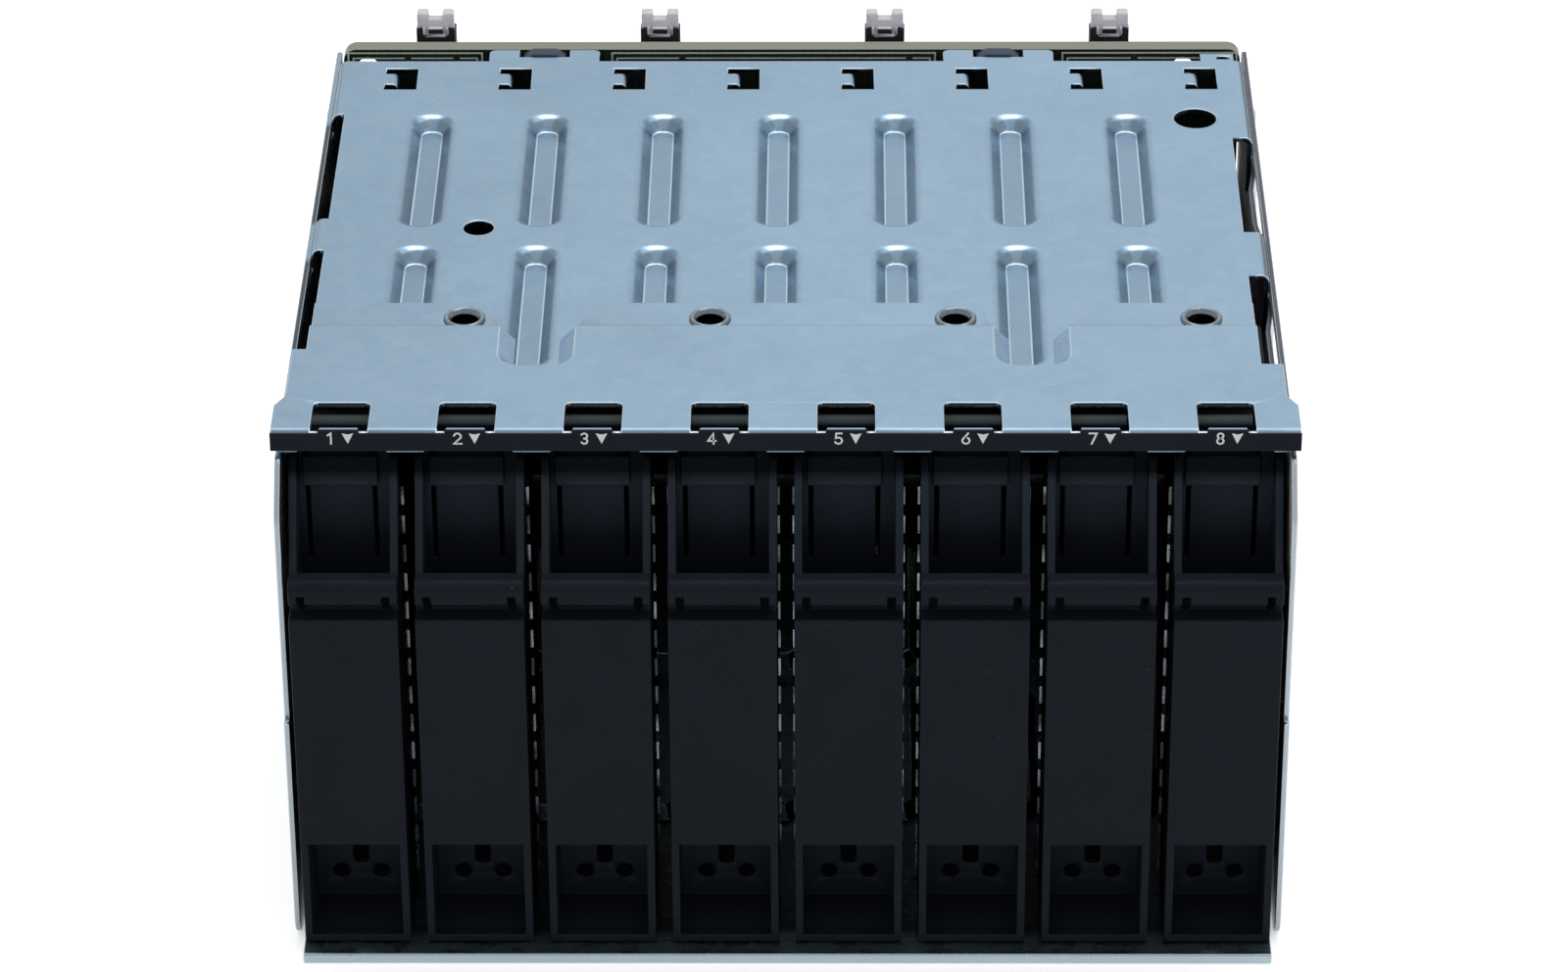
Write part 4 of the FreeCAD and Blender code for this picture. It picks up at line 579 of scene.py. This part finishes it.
def edge_ends(mesh, pair):
    """Return the places of an edge's ends in whole micrometres, the same for edges that coincide."""
    return tuple(sorted(tuple(round(c * MICRO) for c in mesh.vertices[i].co) for i in pair))


def faces_by_edge(mesh):
    """Return the faces at each edge, also where coinciding edges are not joined."""
    rows = {}
    for face in mesh.polygons:
        for pair in face.edge_keys:
            rows.setdefault(edge_ends(mesh, pair), []).append(face)
    return rows


def weigh_edges(mesh, attribute, wanted):
    """Give the wanted edges a weight of 1 in a new attribute, and the others 0."""
    weights = mesh.attributes.new(attribute, "FLOAT", "EDGE")
    for edge in mesh.edges:
        weights.data[edge.index].value = 1.0 if edge_ends(mesh, edge.vertices) in wanted else 0.0


def bend_edges(mesh, level):
    """Return the edges where a rib's wall meets a flat at a level."""
    wanted = set()
    for ends, faces in faces_by_edge(mesh).items():
        flat = any(abs(face.normal.z) > FLAT for face in faces)
        sloped = any(SLOPED[0] < abs(face.normal.z) < SLOPED[1] for face in faces)
        if flat and sloped and all(abs(end[2] - level * MICRO) < LEVEL_REACH for end in ends):
            wanted.add(ends)
    return wanted


def mark_ribs(mesh, face, floor):
    """Weigh the ribs' bends at the panel's face and at their floors, and return the edges of both."""
    shoulders, lines = bend_edges(mesh, face), bend_edges(mesh, floor)
    weigh_edges(mesh, "shoulder", shoulders)
    weigh_edges(mesh, "press_line", lines)
    weigh_edges(mesh, "short_bend", {ends for ends in shoulders if math.dist(*ends) / MICRO < SHORT_BEND})
    return shoulders | lines


def mark_corners(mesh, bends):
    """Weigh a folded sheet's outer corners and keep its inner ones sharp, apart from its ribs' bends."""
    outer, inner = set(), set()
    for ends, faces in faces_by_edge(mesh).items():
        if ends in bends or len(faces) != 2:
            continue
        first, second = faces
        if first.normal.angle(second.normal, 0.0) > CORNER:
            hollow = first.normal.dot(second.center - first.center) > 0
            (inner if hollow else outer).add(ends)
    weigh_edges(mesh, "edges", outer)
    sharp = mesh.attributes.new("sharp_edge", "BOOLEAN", "EDGE")
    for edge in mesh.edges:
        sharp.data[edge.index].value = edge_ends(mesh, edge.vertices) in inner


def short_joiner():
    """Make the nodes that join the ends of the marked short straights."""
    tree = bpy.data.node_groups.new("join_short_bends", "GeometryNodeTree")
    for way in ("INPUT", "OUTPUT"):
        tree.interface.new_socket("Geometry", in_out=way, socket_type="NodeSocketGeometry")
    marks = add(tree, "GeometryNodeInputNamedAttribute", data_type="FLOAT", Name="short_bend")
    joined = add(tree, "GeometryNodeMergeByDistance", Distance=SHORT_BEND)
    marked = next(socket for socket in marks.outputs if socket.name == "Attribute" and socket.enabled)
    link(tree, marked, joined.inputs["Selection"])
    link(tree, add(tree, "NodeGroupInput").outputs["Geometry"], joined.inputs["Geometry"])
    link(tree, joined.outputs["Geometry"], add(tree, "NodeGroupOutput").inputs["Geometry"])
    return tree


def round_edges(node, name, width, segments, material=-1):
    """Add a bevel, by the weight of that name or, without one, by angle."""
    bevel = node.modifiers.new(name, "BEVEL")
    bevel.limit_method = "WEIGHT" if name in node.data.attributes else "ANGLE"
    if bevel.limit_method == "WEIGHT":
        bevel.edge_weight = name
    bevel.angle_limit = CORNER
    bevel.width = width
    bevel.segments = segments
    bevel.use_clamp_overlap = False
    bevel.loop_slide = False
    bevel.material = material


def soften(node, width, edge_light=-1, line_highlight=-1, bends=None):
    """Weld a node's facets, round the bends of its ribs and then its sharp edges."""
    mesh = node.data
    for name in ("custom_normal", "sharp_face", "sharp_edge"):
        if name in mesh.attributes:
            mesh.attributes.remove(mesh.attributes[name])
    mesh.polygons.foreach_set("use_smooth", [True] * len(mesh.polygons))
    if bends is not None:
        mark_corners(mesh, bends)
    node.modifiers.new("weld", "WELD").merge_threshold = WELD_REACH
    if line_highlight >= 0:
        node.modifiers.new("short_bends", "NODES").node_group = short_joiner()
        round_edges(node, "shoulder", SHOULDER, SHOULDER_STEPS)
        round_edges(node, "press_line", PRESS_LINE, EDGE_STEPS, line_highlight)
    round_edges(node, "edges", width, EDGE_STEPS, edge_light)
    node.modifiers.new("even", "WEIGHTED_NORMAL").keep_sharp = bends is not None


def soften_nodes(edge_light, line_highlight):
    """Round the edges of the nodes as their pieces are made: folded sheet, moulding or bright steel."""
    for row in frame["record"]["subparts"]:
        name, slot = row["node"], row["material_slot"]
        node = NODES[name]
        if name in ("top_panel", "base_panel"):
            inward = -RIB_DEPTH if name == "top_panel" else RIB_DEPTH
            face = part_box(name)[1].z if name == "top_panel" else 0.0
            bends = mark_ribs(node.data, face, face + inward)
            node.data.materials.append(edge_light)
            node.data.materials.append(line_highlight)
            soften(node, SHEET_EDGE, edge_light=1, line_highlight=2, bends=bends)
        elif slot in ("galvanised_sheet", "side_sheet"):
            node.data.materials.append(edge_light)
            soften(node, SHEET_EDGE, edge_light=1, bends=set())
        elif slot in ("black_plastic", "socket_plastic", "clip_plastic", "pale_plastic"):
            soften(node, MOULDED_EDGE)
        elif slot == "bright_steel":
            soften(node, STEEL_EDGE)


# Added pieces

def add_mesh_piece(name, built, materials):
    """Turn built faces into a piece that rides on the cage."""
    mesh = bpy.data.meshes.new(name)
    built.to_mesh(mesh)
    built.free()
    for material in materials:
        mesh.materials.append(material)
    piece = bpy.data.objects.new(name, mesh)
    bpy.context.scene.collection.objects.link(piece)
    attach(piece, "cage")
    return piece


# Bay numbers on the strip

def arc(x, y, radius, start, end, steps=14):
    """Return points along an arc, with its angles in degrees."""
    turns = [math.radians(start + (end - start) * i / steps) for i in range(steps + 1)]
    return [(x + radius * math.cos(a), y + radius * math.sin(a)) for a in turns]


# Centre lines of the digits and their width, in digit heights
STROKES = {
    1: [[(0.08, 0.80), (0.33, 1.0), (0.33, 0.0)]],
    2: [arc(0.30, 0.71, 0.29, 165, -35) + [(0.0, 0.0), (0.62, 0.0)]],
    3: [arc(0.28, 0.75, 0.25, 150, -90), arc(0.28, 0.25, 0.25, 90, -150)],
    4: [[(0.46, 0.0), (0.46, 1.0), (0.0, 0.27), (0.64, 0.27)]],
    5: [[(0.54, 1.0), (0.10, 1.0), (0.06, 0.54)] + arc(0.28, 0.30, 0.30, 125, -150)],
    6: [[(0.48, 1.0), (0.10, 0.50)], arc(0.31, 0.30, 0.30, 90, 450, 24)],
    7: [[(0.0, 1.0), (0.60, 1.0), (0.20, 0.0)]],
    8: [arc(0.31, 0.76, 0.24, -90, 270), arc(0.31, 0.25, 0.27, 90, 450)],
}
STROKE = 0.16
# A ribbon widens at a bend until this cosine
MITRE = 0.5
# The digits' height, their start left of the bay's middle, and the print's middle above the strip's foot
DIGIT = 1.6 * MM
DIGIT_LEFT = 1.85 * MM
PRINT_RISE = 1.95 * MM
# The arrowhead's corners, and its middle right of the bay's middle, in millimetres
ARROW = ((-0.78, 0.82), (0.0, 0.62), (0.78, 0.82), (0.0, -0.82))
ARROW_RIGHT = 0.92


def add_stroke(built, points, place):
    """Lay a flat ribbon along a line of points and put it in place."""
    half = STROKE / 2
    rows = []
    for i, point in enumerate(points):
        here = Vector(point)
        back = (here - Vector(points[i - 1])).normalized() if i else None
        ahead = (Vector(points[i + 1]) - here).normalized() if i + 1 < len(points) else None
        way = ((back or ahead) + (ahead or back)).normalized()
        side = Vector((-way.y, way.x))
        reach = half / max(MITRE, side.dot(Vector((-(back or ahead).y, (back or ahead).x))))
        if back is None:
            here = here - way * half
        if ahead is None:
            here = here + way * half
        rows.append([built.verts.new(place(here + side * r)) for r in (reach, -reach)])
    for first, second in zip(rows, rows[1:]):
        built.faces.new((first[0], first[1], second[1], second[0]))


def add_bay_numbers(material):
    """Print a digit and a small arrowhead on the strip below each window."""
    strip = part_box("number_strip")[0]
    middle = strip.z + PRINT_RISE
    face = strip.y - PRINT_GAP
    built = bmesh.new()
    for bay in BAYS:
        first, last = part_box(f"blank_{bay}")
        x = (first.x + last.x) / 2
        for layer, points in enumerate(STROKES[bay]):
            depth = face - LAYER_GAP * layer

            def place(point):
                return (x - DIGIT_LEFT + DIGIT * point.x, depth, middle + DIGIT * (point.y - 0.5))

            add_stroke(built, points, place)
        corners = [built.verts.new((x + (ARROW_RIGHT + u) * MM, face, middle + v * MM)) for u, v in ARROW]
        built.faces.new((corners[0], corners[3], corners[1]))
        built.faces.new((corners[1], corners[3], corners[2]))
    bmesh.ops.recalc_face_normals(built, faces=built.faces)
    add_mesh_piece("bay_numbers", built, (material,))


# Traces on the board

# Ends of the outlined stretches of the board's face, in millimetres
TRACED = ((-66.8, -46.4), (-27.1, 21.7), (40.6, 67.0))
# The outlines' width, drop below the board's top and length down it
TRACE_WIDTH, TRACE_DROP, TRACE_LENGTH = 0.27 * MM, 0.45 * MM, 3.2 * MM
# The inner outline's inset at its ends, and its drop as a share of that
TRACE_INSET, INSET_DROP = 0.75 * MM, 1.15
# Middles of the pads in millimetres, each with its row, and the rows' drops below the board's top
PADS = ((-57.7, 0), (-50.4, 1), (-16.4, 1), (17.7, 0), (51.5, 1))
PAD_DROPS = (1.1 * MM, 0.75 * MM)
PAD_REACH, PAD_HEIGHT = 0.5 * MM, 0.9 * MM


def add_board_traces(line, pad):
    """Lay two nested outlines on each open stretch of the board's front face, and small pads on them."""
    low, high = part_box("backplane_board")
    face = low.y - PRINT_GAP
    built = bmesh.new()

    def patch(west, east, foot, top, layer):
        corners = [(west, foot), (east, foot), (east, top), (west, top)]
        made = built.faces.new([built.verts.new((x, face - LAYER_GAP * layer, z)) for x, z in corners])
        made.material_index = layer

    for west, east in TRACED:
        for nest in range(2):
            inset = TRACE_INSET * nest
            start, end = west * MM + inset, east * MM - inset
            top = high.z - TRACE_DROP - INSET_DROP * inset
            patch(start, end, top - TRACE_WIDTH, top, 0)
            patch(start, start + TRACE_WIDTH, top - TRACE_LENGTH, top - TRACE_WIDTH, 0)
            patch(end - TRACE_WIDTH, end, top - TRACE_LENGTH, top - TRACE_WIDTH, 0)
    for x, row in PADS:
        top = high.z - PAD_DROPS[row]
        patch(x * MM - PAD_REACH, x * MM + PAD_REACH, top - PAD_HEIGHT, top, 1)
    add_mesh_piece("board_traces", built, (line, pad))


# Small mouldings at the board, in millimetres

# A hasp's loop: half its width, its wall, its top and foot, and the slant of its lower corners
LOOP, LOOP_WALL, LOOP_TOP, LOOP_FOOT, LOOP_CORNER = 1.93, 0.32, 75.65, 74.1, 0.45
# The catch in the loop: half its width, its foot and its top, where the loop's bar starts
CATCH, CATCH_FOOT, CATCH_TOP = 1.07, 74.6, 75.4
# The collar round the loop: half its width, its foot and the drop of its outer corners
COLLAR, COLLAR_FOOT, COLLAR_DROP = 2.9, 73.4, 0.2
# How far each stands out of the hasp's front, and how far all reach into it
LOOP_PROUD, BAR_PROUD, CATCH_PROUD, COLLAR_PROUD = 0.45, 0.5, 0.3, 0.25
LOOP_ROOT = 0.1

# Places of the pins from the board's lower and side edges
PIN_RISE, PIN_LEFT, PIN_RIGHT = 2.9, 3.7, 8.6
PIN_SIDES = 28
# A pin's radii, with their places along Y from the board's front for its tip and from its rear for its head
PIN_TIP = ((0.0, -1.6), (0.7, -1.6), (1.15, -0.5))
PIN_HEAD = ((1.15, 0.02), (2.4, 0.02), (2.4, 0.5), (2.0, 0.95), (0.9, 1.1), (0.6, 0.75), (0.0, 0.7))


def add_prism(built, outline, front, back, index):
    """Extrude an outline of X and Z from a front to a back, all in millimetres."""
    rows = [[built.verts.new((x * MM, y * MM, z * MM)) for x, z in outline] for y in (front, back)]
    faces = [built.faces.new(rows[0]), built.faces.new(rows[1])]
    for i in range(len(outline)):
        j = (i + 1) % len(outline)
        faces.append(built.faces.new((rows[0][i], rows[0][j], rows[1][j], rows[1][i])))
    for face in faces:
        face.material_index = index


def upright(half, foot, top):
    """Return the outline of a rectangle about the middle."""
    return [(-half, foot), (half, foot), (half, top), (-half, top)]


def hasp_shapes():
    """Return the outlines of the loop, its bar, the catch and the collar, each with its front and finish."""
    outer = [
        (-LOOP, LOOP_TOP), (-LOOP, LOOP_FOOT + LOOP_CORNER), (-LOOP + LOOP_CORNER, LOOP_FOOT),
        (LOOP - LOOP_CORNER, LOOP_FOOT), (LOOP, LOOP_FOOT + LOOP_CORNER), (LOOP, LOOP_TOP),
    ]
    inner, sill = LOOP - LOOP_WALL, LOOP_FOOT + LOOP_WALL
    loop = outer + [(inner, LOOP_TOP), (inner, sill), (-inner, sill), (-inner, LOOP_TOP)]
    shoulder = LOOP_TOP - COLLAR_DROP
    collar = [(-COLLAR, shoulder), (-COLLAR, COLLAR_FOOT), (COLLAR, COLLAR_FOOT), (COLLAR, shoulder)]
    return (
        (loop, LOOP_PROUD, 0),
        (upright(CATCH, CATCH_TOP, LOOP_TOP), BAR_PROUD, 0),
        (upright(CATCH, CATCH_FOOT, CATCH_TOP), CATCH_PROUD, 1),
        (collar + outer[::-1], COLLAR_PROUD, 1),
    )


def add_hasp_loops(pale, dark):
    """Add the loop on each pale latch's front, with the socket's dark catch in it and collar round it."""
    for number in HASPS:
        low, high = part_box(f"cable_hasp_{number}")
        middle = (low.x + high.x) / 2 / MM
        front = low.y / MM
        built = bmesh.new()
        for outline, proud, index in hasp_shapes():
            placed = [(middle + x, z) for x, z in outline]
            add_prism(built, placed, front - proud, front + LOOP_ROOT, index)
        bmesh.ops.recalc_face_normals(built, faces=built.faces)
        piece = add_mesh_piece(f"hasp_loop_{number}", built, (pale, dark))
        rounding = piece.modifiers.new("edges", "BEVEL")
        rounding.width = LOOP_EDGE
        rounding.segments = EDGE_STEPS


def add_board_pins(material):
    """Turn the two snap pins that hold the board's lower corners, with a dimple in each head."""
    low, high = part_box("backplane_board")
    foot = low.z / MM + PIN_RISE
    front, rear = low.y / MM, high.y / MM
    profile = [(radius, front + y) for radius, y in PIN_TIP] + [(radius, rear + y) for radius, y in PIN_HEAD]
    for number, x in enumerate((low.x / MM + PIN_LEFT, high.x / MM - PIN_RIGHT), 1):
        built = bmesh.new()
        rings = []
        for radius, y in profile:
            turns = [2 * math.pi * i / PIN_SIDES for i in range(PIN_SIDES)] if radius else [0.0]
            ring = [(x + radius * math.cos(a), y, foot + radius * math.sin(a)) for a in turns]
            rings.append([built.verts.new([c * MM for c in point]) for point in ring])
        for first, second in zip(rings, rings[1:]):
            for i in range(PIN_SIDES):
                j = (i + 1) % PIN_SIDES
                around = ((first, i), (first, j), (second, j), (second, i))
                corners = [ring[k % len(ring)] for ring, k in around]
                built.faces.new(list(dict.fromkeys(corners)))
        bmesh.ops.recalc_face_normals(built, faces=built.faces)
        piece = add_mesh_piece(f"board_pin_{number}", built, (material,))
        piece.data.polygons.foreach_set("use_smooth", [True] * len(piece.data.polygons))


# Stage

def add_camera():
    """Place the camera where the photograph was taken from."""
    data = bpy.data.cameras.new("camera")
    data.sensor_fit = "HORIZONTAL"
    data.sensor_width = SENSOR_WIDTH
    data.lens = CAMERA_LENS
    data.clip_start = CLIP_START
    data.clip_end = CLIP_END
    camera = bpy.data.objects.new("camera", data)
    bpy.context.scene.collection.objects.link(camera)
    forward = (CAMERA_AIM - CAMERA_AT).normalized()
    right = forward.cross(Vector((0, 0, 1))).normalized()
    up = right.cross(forward)
    roll = Matrix.Rotation(CAMERA_ROLL, 3, -forward)
    turn = Matrix((roll @ right, roll @ up, -forward)).transposed()
    camera.matrix_world = Matrix.Translation(CAMERA_AT * MM) @ turn.to_4x4()
    bpy.context.scene.camera = camera


def seen_rays(tree):
    """Return 1 for the rays that see the stage: from the camera, off gloss or through glass."""
    rays = add(tree, "ShaderNodeLightPath")
    seen = rays.outputs["Is Camera Ray"]
    for name in ("Is Glossy Ray", "Is Transmission Ray"):
        seen = reckon(tree, "MAXIMUM", seen, rays.outputs[name])
    return seen


def add_world():
    """Light from all round, with a white background."""
    world = bpy.data.worlds.new("studio")
    bpy.context.scene.world = world
    world.use_nodes = True
    background = world.node_tree.nodes["Background"]
    background.inputs["Color"].default_value = (1, 1, 1, 1)
    background.inputs["Strength"].default_value = WORLD_LIGHT


def add_sheet(name, corners, material):
    """Add one flat face to the scene."""
    mesh = bpy.data.meshes.new(name)
    mesh.from_pydata(corners, [], [(0, 1, 2, 3)])
    mesh.materials.append(material)
    sheet = bpy.data.objects.new(name, mesh)
    bpy.context.scene.collection.objects.link(sheet)
    return sheet


def add_floor():
    """Lay a wide pale floor under the cage."""
    material, tree, shader = principled("floor", 0.9, specular=0.0)
    shader.inputs["Base Color"].default_value = FLOOR_COLOUR
    shader.inputs["Emission Color"].default_value = (1, 1, 1, 1)
    glow = spread(tree, seen_rays(tree), (0, 1), (0, FLOOR_GLOW))
    link(tree, glow, shader.inputs["Emission Strength"])
    level = CAD_BOX[0].z - FLOOR_GAP
    ways = ((-1, -1), (1, -1), (1, 1), (-1, 1))
    floor = add_sheet("floor", [(x * FLOOR_REACH, y * FLOOR_REACH, level) for x, y in ways], material)


def add_flag():
    """Stand a grey flag far behind the cage, which only shows in its reflections."""
    material, _, shader = principled("flag_cloth", 0.9, specular=0.0)
    shader.inputs["Base Color"].default_value = FLAG_COLOUR
    outline = upright(FLAG_REACH, 0.0, FLAG_HEIGHT)
    flag = add_sheet("rear_flag", [(x, FLAG_BEHIND, z) for x, z in outline], material)
    flag.visible_camera = False
    flag.visible_diffuse = False
    flag.visible_shadow = False


def add_lamp():
    """Hang a soft rectangular lamp over the cage."""
    data = bpy.data.lights.new("top_lamp", "AREA")
    data.shape = "RECTANGLE"
    data.size, data.size_y = (side * MM for side in LAMP_SIZE)
    data.energy = LAMP_POWER
    lamp = bpy.data.objects.new("top_lamp", data)
    bpy.context.scene.collection.objects.link(lamp)
    turn = (LAMP_AIM - LAMP_AT).normalized().to_track_quat("-Z", "Y").to_matrix()
    lamp.matrix_world = Matrix.Translation(LAMP_AT * MM) @ turn.to_4x4()


bpy.context.scene.view_settings.view_transform = "Standard"
finishes = make_materials()
paint_nodes(finishes)
# The rounded lines round the ribs' floors get pale bright steel as a painted highlight.
soften_nodes(painted_edge_light(), bright_metal("press_line", (0.54, 0.66, 0.74), 0.3))
add_bay_numbers(print_ink())
add_board_traces(
    plain_moulded("trace", (0.42, 0.50, 0.42), 0.4, 0.4),
    plain_moulded("pad", (0.035, 0.018, 0.012), 0.4, 0.4),
)
# The loops' rim is a lighter copy of the latch's milky moulding: painted light where light falls on it.
add_hasp_loops(milky_plastic("lit_milky_rim", (0.88, 0.88, 0.93)), finishes["socket_plastic"])
add_board_pins(finishes["socket_plastic"])
add_camera()
add_world()
add_floor()
add_flag()
add_lamp()
